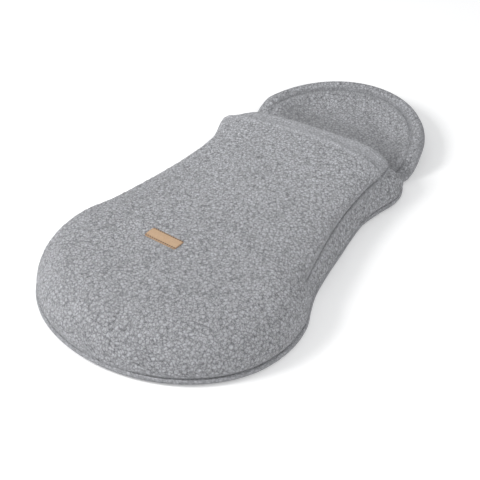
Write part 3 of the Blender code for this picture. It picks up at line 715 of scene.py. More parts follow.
def bake_nodes(piece: bpy.types.Object, tree: bpy.types.NodeTree, values: dict) -> None:
    """Run a Geometry Nodes tree on a piece and keep the result as its plain mesh.

    Args:
        piece: The piece whose mesh goes in and comes out.
        tree: The tree to run.
        values: Values for its inputs, by name.
    """
    modifier = piece.modifiers.new(tree.name, "NODES")
    modifier.node_group = tree
    for item in tree.interface.items_tree:
        if item.item_type == "SOCKET" and item.in_out == "INPUT" and item.name in values:
            modifier[item.identifier] = values[item.name]
    keep_result(piece, modifier)


# Shader groups shared by the finishes

def add_tufts(bench: NodeBench, vector: Socket, size: object, tangle: object) -> Socket:
    """Rounded tufts with narrow gaps, pushed out of line so that they look curled.

    Args:
        bench: Bench of a shader or a Geometry Nodes tree.
        vector: Place on the cloth.
        size: Distance between tufts.
        tangle: How far they are pushed, as a share of that distance.

    Returns:
        A value from 0 in the gaps to 1 on the tips.
    """
    scale = bench.math("DIVIDE", 1.0, size)
    wander = bench.add("ShaderNodeTexNoise", {"Vector": vector, "Scale": scale, "Detail": 1.0})
    centred = bench.vector("SUBTRACT", {0: wander.outputs["Color"], 1: (0.5, 0.5, 0.5)})
    shift = bench.vector("SCALE", {0: centred, "Scale": bench.times(tangle, size)})
    cells = {"Vector": bench.vector("ADD", {0: vector, 1: shift}), "Scale": scale}
    middle = bench.add("ShaderNodeTexVoronoi", cells, feature="F1")
    tip = bench.remap(middle.outputs["Distance"], 0.15, 0.85, 1.0, 0.0)
    edges = bench.add("ShaderNodeTexVoronoi", cells, feature="DISTANCE_TO_EDGE")
    body = bench.remap(edges.outputs["Distance"], 0.0, 0.22)
    return bench.weighted(tip, 0.45, body)


def curl_group() -> bpy.types.NodeTree:
    """Worm-like curls of a looped pile.

    Returns:
        A shader group with the inputs Vector, Curl Size and Tangle, and the outputs Curl and Mottle.
    """
    inputs = (("Vector", "NodeSocketVector", None), ("Curl Size", "NodeSocketFloat", 0.006),
              ("Tangle", "NodeSocketFloat", 0.5))
    tree, bench, source, result = new_group(
        "curly_pile", "ShaderNodeTree", inputs, (("Curl", "NodeSocketFloat"), ("Mottle", "NodeSocketFloat")))
    vector, size, tangle = (source.outputs[i] for i in range(3))
    tuft = add_tufts(bench, vector, size, tangle)
    scale = bench.math("DIVIDE", 2.3, size)
    worms = bench.add("ShaderNodeTexNoise", {"Vector": vector, "Scale": scale, "Detail": 1.0,
                                             "Roughness": 0.45, "Distortion": 0.7})
    ridge = bench.math("ABSOLUTE", bench.math("SUBTRACT", worms.outputs["Fac"], 0.5))
    loop = bench.remap(ridge, 0.0, 0.16, 1.0, 0.0)
    both = bench.add("ShaderNodeMix", {0: 0.3, 2: tuft, 3: loop}, data_type="FLOAT").outputs[0]
    bench.link(both, result.inputs["Curl"])
    patch = bench.add("ShaderNodeTexNoise", {"Vector": vector, "Scale": 22.0, "Detail": 3.0,
                                             "Roughness": 0.6})
    bench.link(patch.outputs["Fac"], result.inputs["Mottle"])
    return tree


def weave_group() -> bpy.types.NodeTree:
    """Two crossing sets of rounded threads.

    Returns:
        A shader group with the inputs Vector and Thread, and the output Height.
    """
    inputs = (("Vector", "NodeSocketVector", None), ("Thread", "NodeSocketFloat", 0.0008))
    tree, bench, source, result = new_group(
        "thread_weave", "ShaderNodeTree", inputs, (("Height", "NodeSocketFloat"),))
    turns = bench.math("DIVIDE", math.pi, source.outputs["Thread"])
    scaled = bench.vector("SCALE", {0: source.outputs["Vector"], "Scale": turns})
    parts = bench.add("ShaderNodeSeparateXYZ", {0: scaled})
    product = bench.times(bench.math("SINE", parts.outputs["X"]), bench.math("SINE", parts.outputs["Y"]))
    bench.link(bench.remap(product, -1.0, 1.0), result.inputs["Height"])
    return tree


def wear_group() -> bpy.types.NodeTree:
    """Uneven dust and rubbing over a surface.

    Returns:
        A shader group with the inputs Vector and Size, and the output Wear.
    """
    inputs = (("Vector", "NodeSocketVector", None), ("Size", "NodeSocketFloat", 0.004))
    tree, bench, source, result = new_group(
        "handling_wear", "ShaderNodeTree", inputs, (("Wear", "NodeSocketFloat"),))
    scale = bench.math("DIVIDE", 1.0, source.outputs["Size"])
    noise = bench.add("ShaderNodeTexNoise", {"Vector": source.outputs["Vector"], "Scale": scale,
                                             "Detail": 4.0, "Roughness": 0.65})
    bench.link(bench.remap(noise.outputs["Fac"], 0.35, 0.7), result.inputs["Wear"])
    return tree


CURLS = curl_group()
WEAVE = weave_group()
WEAR = wear_group()


def start_material(name: str) -> tuple:
    """A new node material.

    Args:
        name: Name of the material.

    Returns:
        The material, its bench and its Principled shader node.
    """
    material = bpy.data.materials.new(name)
    material.use_nodes = True
    bench = NodeBench(material.node_tree)
    shader = bench.add("ShaderNodeBsdfPrincipled")
    output = bench.add("ShaderNodeOutputMaterial")
    bench.link(shader.outputs[0], output.inputs["Surface"])
    return material, bench, shader


def tinted(color: tuple, *shares: float) -> tuple:
    """A colour made darker or lighter: by one share, or by one for each channel."""
    each = shares * (len(color) // len(shares))
    return tuple(channel * share for channel, share in zip(color, each)) + (1.0,)


def add_bump(bench: NodeBench, shader: bpy.types.Node, height: Socket, depth: float) -> None:
    """Feed a height into a shader's normal."""
    bump = bench.add("ShaderNodeBump", {"Height": height, "Distance": depth, "Strength": 1.0})
    bench.link(bump.outputs[0], shader.inputs["Normal"])


@dataclass(frozen=True)
class FleeceFinish:
    """Curly looped fleece: painted shade between the curls, painted light on their tips."""

    name: str
    color: tuple = (0.452, 0.456, 0.480)
    curl_size: float = CURL_SIZE
    tangle: float = CURL_TANGLE
    bump_depth: float = 0.0036
    contrast: float = 0.59
    dark_share: float = 1.15
    fine_share: float = 0.42
    fine_tangle: float = 1.5
    short_pile: float = 0.55

    def build(self) -> bpy.types.Material:
        """Make the material.

        Returns:
            The material.
        """
        material, bench, shader = start_material(self.name)
        place = bench.attribute("rest_place", "Vector")
        pile = bench.attribute("pile")
        curls = bench.group(CURLS, {"Vector": place, "Curl Size": self.curl_size, "Tangle": self.tangle})
        fine = bench.group(CURLS, {"Vector": place, "Curl Size": self.curl_size * self.fine_share,
                                   "Tangle": self.tangle * self.fine_tangle})
        height = bench.weighted(curls["Curl"], 0.75, fine["Curl"])
        depth = bench.weighted(height, 0.85, pile)
        # painted light on the curl tips, painted shade in the gaps between the curls
        light = tinted(self.color, 1 + self.contrast)
        dark = tinted(self.color, 1 - self.contrast * self.dark_share)
        room = bench.attribute("pile_room")
        calm = bench.remap(room, 0.35, 1.0, self.short_pile, 1.0)
        spread = bench.times(bench.math("SUBTRACT", bench.remap(depth, 0.15, 0.80), 0.5), calm)
        tone = bench.mix_color(bench.math("ADD", spread, 0.5), dark, light)
        patch = bench.remap(curls["Mottle"], 0.3, 0.7, 0.98, 1.02)
        # painted shade and highlights kept on the mesh as tone
        shade = bench.attribute("tone")
        value = bench.add("ShaderNodeHueSaturation", {"Color": tone, "Value": bench.times(patch, shade)})
        bench.link(value.outputs[0], shader.inputs["Base Color"])
        rough = bench.remap(height, 0.0, 1.0, 1.0, 0.88)
        bench.link(rough, shader.inputs["Roughness"])
        shader.inputs["Specular IOR Level"].default_value = 0.15
        shader.inputs["Sheen Weight"].default_value = 0.12
        shader.inputs["Sheen Roughness"].default_value = 0.6
        add_bump(bench, shader, height, self.bump_depth)
        return material


@dataclass(frozen=True)
class JerseyFinish:
    """Soft knitted lining: small rows of stitches and a faint nap."""

    name: str
    color: tuple = (0.40, 0.405, 0.42)
    stitch: float = 0.0011

    def build(self) -> bpy.types.Material:
        """Make the material.

        Returns:
            The material.
        """
        material, bench, shader = start_material(self.name)
        place = bench.attribute("rest_place", "Vector")
        knit = bench.group(WEAVE, {"Vector": place, "Thread": self.stitch})
        nap = bench.add("ShaderNodeTexNoise", {"Vector": place, "Scale": 160.0, "Detail": 3.0}).outputs["Fac"]
        light = tinted(self.color, 1.05)
        tone = bench.mix_color(knit["Height"], tinted(self.color, 0.86), light)
        napped = bench.mix_color(bench.remap(nap, 0.3, 0.7, 0.0, 0.35), tone, light)
        # painted shade of the quilted grooves, kept on the mesh as tone
        shade = bench.attribute("tone")
        value = bench.add("ShaderNodeHueSaturation", {"Color": napped, "Value": shade}).outputs[0]
        bench.link(value, shader.inputs["Base Color"])
        bench.link(bench.remap(nap, 0.3, 0.7, 0.85, 0.97), shader.inputs["Roughness"])
        shader.inputs["Sheen Weight"].default_value = 0.1
        add_bump(bench, shader, knit["Height"], 0.0003)
        return material


@dataclass(frozen=True)
class LeatherFinish:
    """Natural tan leather: fine pores, faint creases, darker rubbed edges."""

    name: str
    color: tuple = (0.51, 0.350, 0.222)
    pore: float = 0.0009
    worn_patch: float = 0.012

    def build(self) -> bpy.types.Material:
        """Make the material.

        Returns:
            The material.
        """
        material, bench, shader = start_material(self.name)
        place = bench.place()
        cells = bench.add("ShaderNodeTexVoronoi", {"Vector": place, "Scale": 1 / self.pore},
                          feature="DISTANCE_TO_EDGE")
        crease = bench.add("ShaderNodeTexNoise", {"Vector": place, "Scale": 180.0, "Detail": 5.0,
                                                  "Distortion": 0.8})
        wear = bench.group(WEAR, {"Vector": place, "Size": self.worn_patch})["Wear"]
        edge = bench.attribute("edge")
        grain = bench.remap(cells.outputs["Distance"], 0.0, 0.25)
        height = bench.weighted(grain, 0.6, crease.outputs["Fac"])
        tone = bench.mix_color(bench.remap(height, 0.2, 0.8), tinted(self.color, 0.80),
                               tinted(self.color, 1.06))
        worn = bench.mix_color(bench.times(wear, 0.25), tone, tinted(self.color, 0.85, 0.78, 0.72))
        rim = bench.mix_color(bench.times(edge, 0.45), worn, tinted(self.color, 0.55, 0.48, 0.42))
        bench.link(rim, shader.inputs["Base Color"])
        bench.link(bench.remap(height, 0.2, 0.8, 0.68, 0.52), shader.inputs["Roughness"])
        shader.inputs["Specular IOR Level"].default_value = 0.4
        add_bump(bench, shader, height, 0.00018)
        return material


@dataclass(frozen=True)
class ThreadFinish:
    """Twisted sewing thread."""

    name: str
    color: tuple = (0.060, 0.035, 0.022)
    twist: float = 0.0006

    def build(self) -> bpy.types.Material:
        """Make the material.

        Returns:
            The material.
        """
        material, bench, shader = start_material(self.name)
        place = bench.place()
        turned = bench.add("ShaderNodeMapping", {"Vector": place, "Rotation": (0.0, 0.0, math.radians(38))})
        ply = bench.add("ShaderNodeTexWave", {"Vector": turned.outputs[0], "Scale": 0.3 / self.twist,
                                              "Distortion": 0.4}).outputs["Fac"]
        tone = bench.mix_color(ply, tinted(self.color, 0.7), tinted(self.color, 1.4))
        bench.link(tone, shader.inputs["Base Color"])
        bench.link(bench.remap(ply, 0.0, 1.0, 0.85, 0.65), shader.inputs["Roughness"])
        add_bump(bench, shader, ply, 0.0001)
        return material


@dataclass(frozen=True)
class TapeFinish:
    """Woven tape, dyed to match the fleece."""

    name: str
    color: tuple = (0.30, 0.305, 0.32)
    thread: float = 0.0007

    def build(self) -> bpy.types.Material:
        """Make the material.

        Returns:
            The material.
        """
        material, bench, shader = start_material(self.name)
        place = bench.place()
        weave = bench.group(WEAVE, {"Vector": place, "Thread": self.thread})["Height"]
        share = bench.weighted(weave, 0.75, bench.group(WEAR, {"Vector": place})["Wear"])
        tone = bench.mix_color(share, tinted(self.color, 0.72), tinted(self.color, 1.12))
        bench.link(tone, shader.inputs["Base Color"])
        bench.link(bench.remap(share, 0.0, 1.0, 0.95, 0.80), shader.inputs["Roughness"])
        add_bump(bench, shader, weave, 0.0002)
        return material


@dataclass(frozen=True)
class EnamelFinish:
    """Painted zinc or nylon of the zip: fine orange peel and rubbed spots."""

    name: str
    color: tuple
    roughness: float
    worn_spot: float = 0.0025

    def build(self) -> bpy.types.Material:
        """Make the material.

        Returns:
            The material.
        """
        material, bench, shader = start_material(self.name)
        place = bench.place()
        wear = bench.group(WEAR, {"Vector": place, "Size": self.worn_spot})["Wear"]
        peel = bench.add("ShaderNodeTexNoise", {"Vector": place, "Scale": 2600.0, "Detail": 2.0})
        tone = bench.mix_color(bench.times(wear, 0.5), tinted(self.color, 1.0), tinted(self.color, 1.45))
        bench.link(tone, shader.inputs["Base Color"])
        rough = bench.remap(wear, 0.0, 1.0, self.roughness, self.roughness + 0.2)
        bench.link(rough, shader.inputs["Roughness"])
        add_bump(bench, shader, peel.outputs["Fac"], 0.00004)
        return material


def pile_tree() -> bpy.types.NodeTree:
    """Geometry Nodes that raise the curly pile on a fleece piece and give it its cloths.

    Returns:
        A tree with the inputs Curl Size, Curl Depth, Tangle, Swell Size, Swell Depth, Fleece and Lining.
    """
    inputs = (("Geometry", "NodeSocketGeometry", None), ("Curl Size", "NodeSocketFloat", 0.008),
              ("Curl Depth", "NodeSocketFloat", 0.0016), ("Tangle", "NodeSocketFloat", 1.0),
              ("Swell Size", "NodeSocketFloat", 0.07), ("Swell Depth", "NodeSocketFloat", 0.003),
              ("Fleece", "NodeSocketMaterial", None), ("Lining", "NodeSocketMaterial", None))
    tree, bench, source, result = new_group(
        "raise_pile", "GeometryNodeTree", inputs, (("Geometry", "NodeSocketGeometry"),))
    place = bench.add("GeometryNodeInputPosition").outputs[0]
    normal = bench.add("GeometryNodeInputNormal").outputs[0]
    room = bench.named("pile_room")
    swell_room = bench.named("swell_room")
    kept = bench.add("GeometryNodeStoreNamedAttribute",
                     {"Geometry": source.outputs["Geometry"], "Name": "rest_place", "Value": place},
                     data_type="FLOAT_VECTOR", domain="POINT")
    pile = add_tufts(bench, place, source.outputs["Curl Size"], source.outputs["Tangle"])
    swell_scale = bench.math("DIVIDE", 1.0, source.outputs["Swell Size"])
    swell = bench.add("ShaderNodeTexNoise", {"Vector": place, "Scale": swell_scale, "Detail": 1.0})
    swell_lift = bench.times(bench.math("SUBTRACT", swell.outputs["Fac"], 0.5),
                             bench.times(source.outputs["Swell Depth"], swell_room))
    curl_lift = bench.times(bench.math("SUBTRACT", pile, 0.5),
                            bench.times(source.outputs["Curl Depth"], room))
    lift = bench.vector("SCALE", {0: normal, "Scale": bench.math("ADD", swell_lift, curl_lift)})
    moved = bench.add("GeometryNodeSetPosition", {"Geometry": kept.outputs[0], "Offset": lift})
    bare = bench.times(bench.math("SUBTRACT", 1.0, room), 0.35)
    masked = bench.math("ADD", bench.times(pile, room), bare)
    stored = bench.add("GeometryNodeStoreNamedAttribute",
                       {"Geometry": moved.outputs[0], "Name": "pile", "Value": masked},
                       data_type="FLOAT", domain="POINT")
    inside = bench.named("lined")
    first = bench.add("GeometryNodeSetMaterial", {"Geometry": stored.outputs[0],
                                                  "Material": source.outputs["Fleece"]})
    chosen = bench.add("FunctionNodeCompare", {0: inside, 1: 0.5}, data_type="FLOAT",
                       operation="GREATER_THAN").outputs[0]
    second = bench.add("GeometryNodeSetMaterial", {"Geometry": first.outputs[0], "Selection": chosen,
                                                   "Material": source.outputs["Lining"]})
    real = bench.add("GeometryNodeRealizeInstances", {"Geometry": second.outputs[0]})
    bench.link(real.outputs[0], result.inputs["Geometry"])
    return tree


@dataclass
class FleeceCloth:
    """How a fleece piece is finished: its pile, its swell and its two cloths."""

    tree: bpy.types.NodeTree
    fleece: bpy.types.Material
    lining: bpy.types.Material
    curl_size: float = 0.0078
    curl_depth: float = 0.0014
    tangle: float = CURL_TANGLE
    swell_size: float = 0.110
    swell_depth: float = 0.006

    def dress(self, piece: bpy.types.Object) -> None:
        """Raise the pile on a piece and set its cloths.

        Args:
            piece: The piece, with the point values that the pile reads.
        """
        bake_nodes(piece, self.tree, {
            "Curl Size": self.curl_size, "Curl Depth": self.curl_depth, "Tangle": self.tangle,
            "Swell Size": self.swell_size, "Swell Depth": self.swell_depth,
            "Fleece": self.fleece, "Lining": self.lining})


@dataclass
class Cover:
    """The front in one cloth: foot pocket, flap and the hem rolled round its top edge."""

    sizes: BagSizes
    cloth: FleeceCloth
    filling: Inflation
    spacing: float = 0.0023
    columns: int = 225
    lip_round: float = 0.0021
    seam_round: float = 0.006
    tip_calm: float = 0.06
    hem_width: float = 0.036
    hem_follow: float = 0.44
    hem_bow: float = 0.0075
    hem_slant: float = 0.0075
    hem_slope: float = 0.004
    hem_pile: float = 0.42
    corner_round: float = 0.010
    corner_start: float = 0.93
    right_fade: float = 0.35
    ridge_lift: float = 0.0032
    ridge_back: float = 0.003
    ridge_width: float = 0.0045
    band_step: float = 0.0050
    groove_depth: float = 0.0012
    rolled_edge: float = 0.0022
    rolled_round: float = 0.0055
    ear_reach: float = 0.014
    ear_lift: float = 0.0060
    ear_back: float = 0.030
    ear_length: float = 0.032
    ear_right: float = 0.4
    slack: float = 0.0045
    slack_rise: float = 0.030
    band_tone: float = 1.09
    # painted highlight on the ridge and along the hem's edge, painted shade in the groove under the ridge
    ridge_tone: float = 0.11
    groove_tone: float = 0.10
    hem_edge_tone: float = 0.06
    # painted shade towards the foot and painted light over the flap
    foot_shade: float = 0.09
    flap_light: float = 0.08
    quilt: float = 0.060
    quilt_width: float = 0.006
    quilt_depth: float = 0.0028
    # painted shade along the quilted grooves of the lining
    quilt_tone: float = 0.16
    stitch_inset: float = 0.0065
    stitch_dent: float = 0.0012
    stitch_width: float = 0.0016

    def seam_height(self, along: Array) -> Array:
        """Height of the cover's lower edge: the base seam, a short climb, then the zip line.

        Args:
            along: Places along the bag.

        Returns:
            Heights of the edge there.
        """
        s = self.sizes
        climb = np.clip((along - (s.fold - s.seam_ramp)) / s.seam_ramp, 0, 1)
        return mix(s.base_height, s.zip_height, climb)

    def edge_half(self, along: Array) -> Array:
        """Half width of the cover at its lower edge.

        Args:
            along: Places along the bag.

        Returns:
            Half widths there.
        """
        s = self.sizes
        share = (self.seam_height(along) - s.base_height) / s.dome_rise
        foot = s.half_width(along) - s.dome_round * s.dome_inverse(share)
        return np.where(along < s.fold, foot, s.zip_half(along))

    def height(self, across: Array, along: Array) -> Array:
        """Height of the outer cloth over the place.

        Args:
            across: Places across the bag.
            along: Places along the bag.

        Returns:
            Heights there.
        """
        s = self.sizes
        distance, whole = s.reach(across, along)
        zip_half = s.zip_half(along)
        distance = np.where(along < s.fold, distance, zip_half - np.abs(across) + s.fold_inset)
        foot_share = 1 - distance / whole
        flap_share = np.abs(across) / zip_half
        crown = 1 - mix(foot_share, flap_share, ease((along - s.fold + FOLD_REACH) / (2 * FOLD_REACH))) ** 2
        top = s.cover_height + s.crown_rise * crown
        return s.base_height + (top - s.base_height) * s.dome(distance / s.dome_round)

    def rows(self) -> Array:
        """Places of the rows along the bag, evenly spaced on the surface.

        Returns:
            Places along the bag.
        """
        t = 1 - np.cos(np.linspace(0, math.pi / 2, 4000))
        along = t * self.sizes.hem_middle
        heights = self.height(np.zeros_like(along), along)
        length = run_along(np.hypot(np.diff(along), np.diff(heights)))
        count = int(length[-1] / self.spacing)
        return np.interp(np.linspace(0, length[-1], count), length, along)

    def hem_back(self, column: Array) -> Array:
        """How far the hem stands back from its middle, from -1 at the left zip to 1 at the right."""
        return self.hem_bow * column ** 2 - self.hem_slant * column

    def grids(self) -> tuple[Array, Array, Array, Array]:
        """Outer and inner points of the cover, and its plan places.

        Returns:
            Outer points, inner points, places along and places across, one row for each station.
        """
        s = self.sizes
        across, along = cloth_rows(self.rows(), self.columns, self.edge_half, self.height)
        half = self.edge_half(along)
        column = np.divide(across, half, out=np.zeros_like(across), where=half > 1e-6)
        corner = np.clip((np.abs(column) - self.corner_start) / (1 - self.corner_start), 0, 1)
        bow = self.hem_back(column) + self.corner_round * corner ** 2
        along = along - bow * ease((along - self.hem_follow) / (s.hem_middle - self.hem_follow))
        across = column * np.where(along < s.fold, half, s.zip_half(along))
        outer_height = self.height(across, along)
        outer = self.at_depth(across, along, outer_height, 0.0)
        inner = self.at_depth(across, along, outer_height, s.cover_depth)
        return outer, inner, along, across

    def at_depth(self, across: Array, along: Array, height: Array, depth: float) -> Array:
        """World points at a depth under the outer cloth.

        Args:
            across: Places across the bag.
            along: Places along the bag.
            height: Heights of the outer cloth there.
            depth: Depth under it.

        Returns:
            World points.
        """
        s = self.sizes
        _, whole = s.reach(across, along)
        flap = ease((along - s.fold + s.seam_ramp) / s.seam_ramp)
        foot_z = s.base_height + (height - s.base_height) * (s.dome_rise - depth) / s.dome_rise
        rise = (height - s.zip_height) / s.flap_rise
        flap_z = s.zip_height + s.lip_gap + rise * (s.flap_rise - depth - s.lip_gap)
        flap_z = np.where(flap > 0, flap_z, foot_z)
        shrink = 1 - depth * s.edge_thin / np.maximum(whole, 1e-6)
        spine = np.maximum(along, s.foot_round)
        zip_shrink = 1 - depth * s.edge_thin / np.maximum(s.zip_half(along), 1e-6)
        x = mix(across * shrink, across * zip_shrink, flap)
        y = np.where(along < s.foot_round, spine + (along - spine) * shrink, along)
        return s.world(x, y, mix(foot_z, flap_z, flap))

    def shape(self, outer: Array, along: Array, across: Array) -> tuple[Array, Array, Array]:
        """Round the lower edges over, and give the hem its band, ridge, ears and stitching.

        Args:
            outer: Outer points, changed in place.
            along: Places along.
            across: Places across.

        Returns:
            Room for the pile, room for the swell, and tone, at each outer point.
        """
        s = self.sizes
        run = run_along(np.linalg.norm(np.diff(outer, axis=1), axis=2))
        near = np.minimum(run, run[:, -1:] - run)
        side = np.sign(across)
        lip = self.lip_round * mix(LIPS_TIGHT, 1.0, lips_open(along))
        edge_round = np.where(along < s.fold - s.seam_ramp, self.seam_round, lip)
        tuck = edge_round * (1 - quarter_round(near / edge_round))
        outer[..., 0] -= side * tuck * np.clip(np.abs(across) / self.tip_calm, 0, 1)
        column = np.divide(across, np.maximum(s.zip_half(along), 1e-6))
        back = s.hem_middle - self.hem_back(column) - along
        below = back - self.hem_width
        fade = 1 - self.right_fade * ease((column - 0.3) / 0.6)
        crest = bump_at(below - self.ridge_back, self.ridge_width) * fade
        step = self.band_step * ease((0.001 - below) / 0.006) * fade
        groove = self.groove_depth * bump_at(below + 0.005, 0.003) * fade
        rolled = self.rolled_edge * bump_at(back - self.rolled_round, self.rolled_round)
        slope = self.hem_slope * ease(1 - back / (self.hem_width + 0.012))
        relief = self.ridge_lift * crest - step - groove + rolled - slope
        ear = bump_at(back - self.ear_back, self.ear_length) * ease((np.abs(column) - 0.55) / 0.35)
        ear = ear * np.where(side < 0, 1.0, self.ear_right)
        dent = self.stitch_dent * bump_at(near - self.stitch_inset, self.stitch_width)
        outer[..., 2] += relief * np.clip(near / 0.012, 0, 1) + self.ear_lift * ear
        outer[..., 2] -= dent * ease((along - self.hem_follow) / 0.05)
        outer[..., 0] += side * self.ear_reach * ear
        pile = ease(near / 0.010) * mix(self.hem_pile, 1.0, ease((below - 0.005) / 0.010))
        swell = ease(near / 0.030) * ease((back - 0.002) / 0.020)
        free = 1 - self.label_bed(along, across)
        return pile * free, swell * free, self.lightness(along, near, back, crest, fade)

    def lightness(self, along: Array, near: Array, back: Array, crest: Array, fade: Array) -> Array:
        """Lightness of the fleece: painted shade at the foot, the lower edges and the groove under the ridge,
        painted highlights on the ridge and the hem's edge, painted light over the flap, and lighter on the
        hem band.

        Args:
            along: Places along.
            near: Distances from the nearer lower edge.
            back: Distances from the hem's edge.
            crest: Share of the ridge under the hem.
            fade: How strongly the hem stands out there.

        Returns:
            Factors for the colour of the cloth.
        """
        below = back - self.hem_width
        # lighter hem band, painted highlight on the ridge and painted shade in the groove under it
        tone = 1 + (self.band_tone - 1) * ease((0.001 - below) / 0.004) + self.ridge_tone * crest
        tone = tone - self.groove_tone * bump_at(below + 0.004, 0.0025) * fade
        # painted shade towards the foot, painted light over the flap
        tone = tone + mix(-self.foot_shade, self.flap_light, ease((along - 0.10) / 0.42))
        # painted highlight along the hem's edge
        tone = tone + self.hem_edge_tone * bump_at(back - 0.004, 0.005)
        # painted shade along the lower edges, deeper where the lips of the zips part
        return tone * mix(mix(0.96, 0.92, lips_open(along)), 1.0, ease(near / 0.004))

    def hem_path(self) -> Array:
        """World points of the stitched line along the hem band, on the finished cloth.

        Returns:
            The points, from left to right.
        """
        s = self.sizes
        points = []
        for j in range(self.columns // 14, self.columns - self.columns // 18):
            column = self.across[-1, j] / float(s.zip_half(self.along[-1, j]))
            line = s.hem_middle - self.hem_back(column) - self.hem_width + 0.005
            points.append([np.interp(line, self.along[:, j], self.skin[:, j, k]) for k in range(3)])
        return np.array(points) + (0.0, 0.0, 0.0006)

    def skin_height(self, across: Array, along: Array) -> Array:
        """Height of the finished outer cloth over places on the foot pocket.

        Args:
            across: Places across the bag.
            along: Places along the bag.

        Returns:
            Heights there.
        """
        stations = self.along[:, 0]
        heights = np.empty(across.shape)
        for index in np.ndindex(across.shape):
            row = int(np.clip(np.searchsorted(stations, along[index]) - 1, 0, len(stations) - 2))
            share = (along[index] - stations[row]) / (stations[row + 1] - stations[row])
            low, high = (np.interp(across[index], self.across[i], self.skin[i, :, 2])
                         for i in (row, row + 1))
            heights[index] = mix(low, high, share)
        return heights

    def label_bed(self, along: Array, across: Array) -> Array:
        """1 under the leather label, where the pile is pressed flat.

        Args:
            along: Places along the bag.
            across: Places across the bag.

        Returns:
            Shares from 0 to 1.
        """
        turn = math.radians(LABEL_TURN)
        x, y = across - LABEL_ACROSS, along - LABEL_ALONG
        x, y = x * math.cos(turn) + y * math.sin(turn), y * math.cos(turn) - x * math.sin(turn)
        gap = np.maximum(np.abs(x) - (LABEL_LENGTH / 2 - 0.002), np.abs(y) - (LABEL_WIDTH / 2 - 0.0025))
        return 1 - ease(gap / 0.005)

    def quilting(self, along: Array, across: Array) -> Array:
        """1 on the quilted lines that hold the lining to the wadding, 0 between them.

        Args:
            along: Places along the bag.
            across: Places across the bag.

        Returns:
            Shares from 0 to 1.
        """
        lines = np.zeros(along.shape)
        for place in (across, along - self.sizes.hem_middle):
            off = np.abs(place / self.quilt - np.round(place / self.quilt - 0.5) - 0.5) * self.quilt
            lines = np.maximum(lines, bump_at(off, self.quilt_width))
        return lines * ease((self.sizes.zip_half(along) - np.abs(across)) / 0.020)

    def build(self) -> bpy.types.Object:
        """Make the cover and dress it.

        Returns:
            The cover.
        """
        s = self.sizes
        outer, inner, along, across = self.grids()
        outer[..., 2] -= self.slack * ease((outer[..., 2] - s.zip_height) / self.slack_rise)
        out_move, in_move = self.filling.swelling("cover", outer, inner)
        outer, inner = outer + out_move, inner + in_move
        pile_room, swell_room, tone = self.shape(outer, along, across)
        lines = self.quilting(along, across)
        inner[..., 2] += self.quilt_depth * lines
        self.skin, self.along, self.across = outer, along, across
        rows, columns = along.shape
        hem_start = rows + columns - 2
        bulge = np.zeros((2 * hem_start, 3))
        bulge[hem_start:hem_start + columns, 1] = np.linalg.norm(outer[-1] - inner[-1], axis=1)[::-1] / 2
        zero, one = np.zeros(along.shape), np.ones(along.shape)
        # the lining's tone carries painted shade along the quilted grooves
        mesh = Pad(outer, inner, wall_steps=8).mesh("cover", {
            "pile_room": (pile_room, zero), "swell_room": (swell_room, zero), "lined": (zero, one),
            "tone": (tone, 1 - self.quilt_tone * lines)}, bulge)
        piece = place_piece("cover", mesh)
        self.cloth.dress(piece)
        bend_at_fold(piece)
        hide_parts("foot_shell", "foot_wadding", "foot_lining", "flap_shell", "flap_wadding",
                    "flap_lining", "hem_band")
        return piece


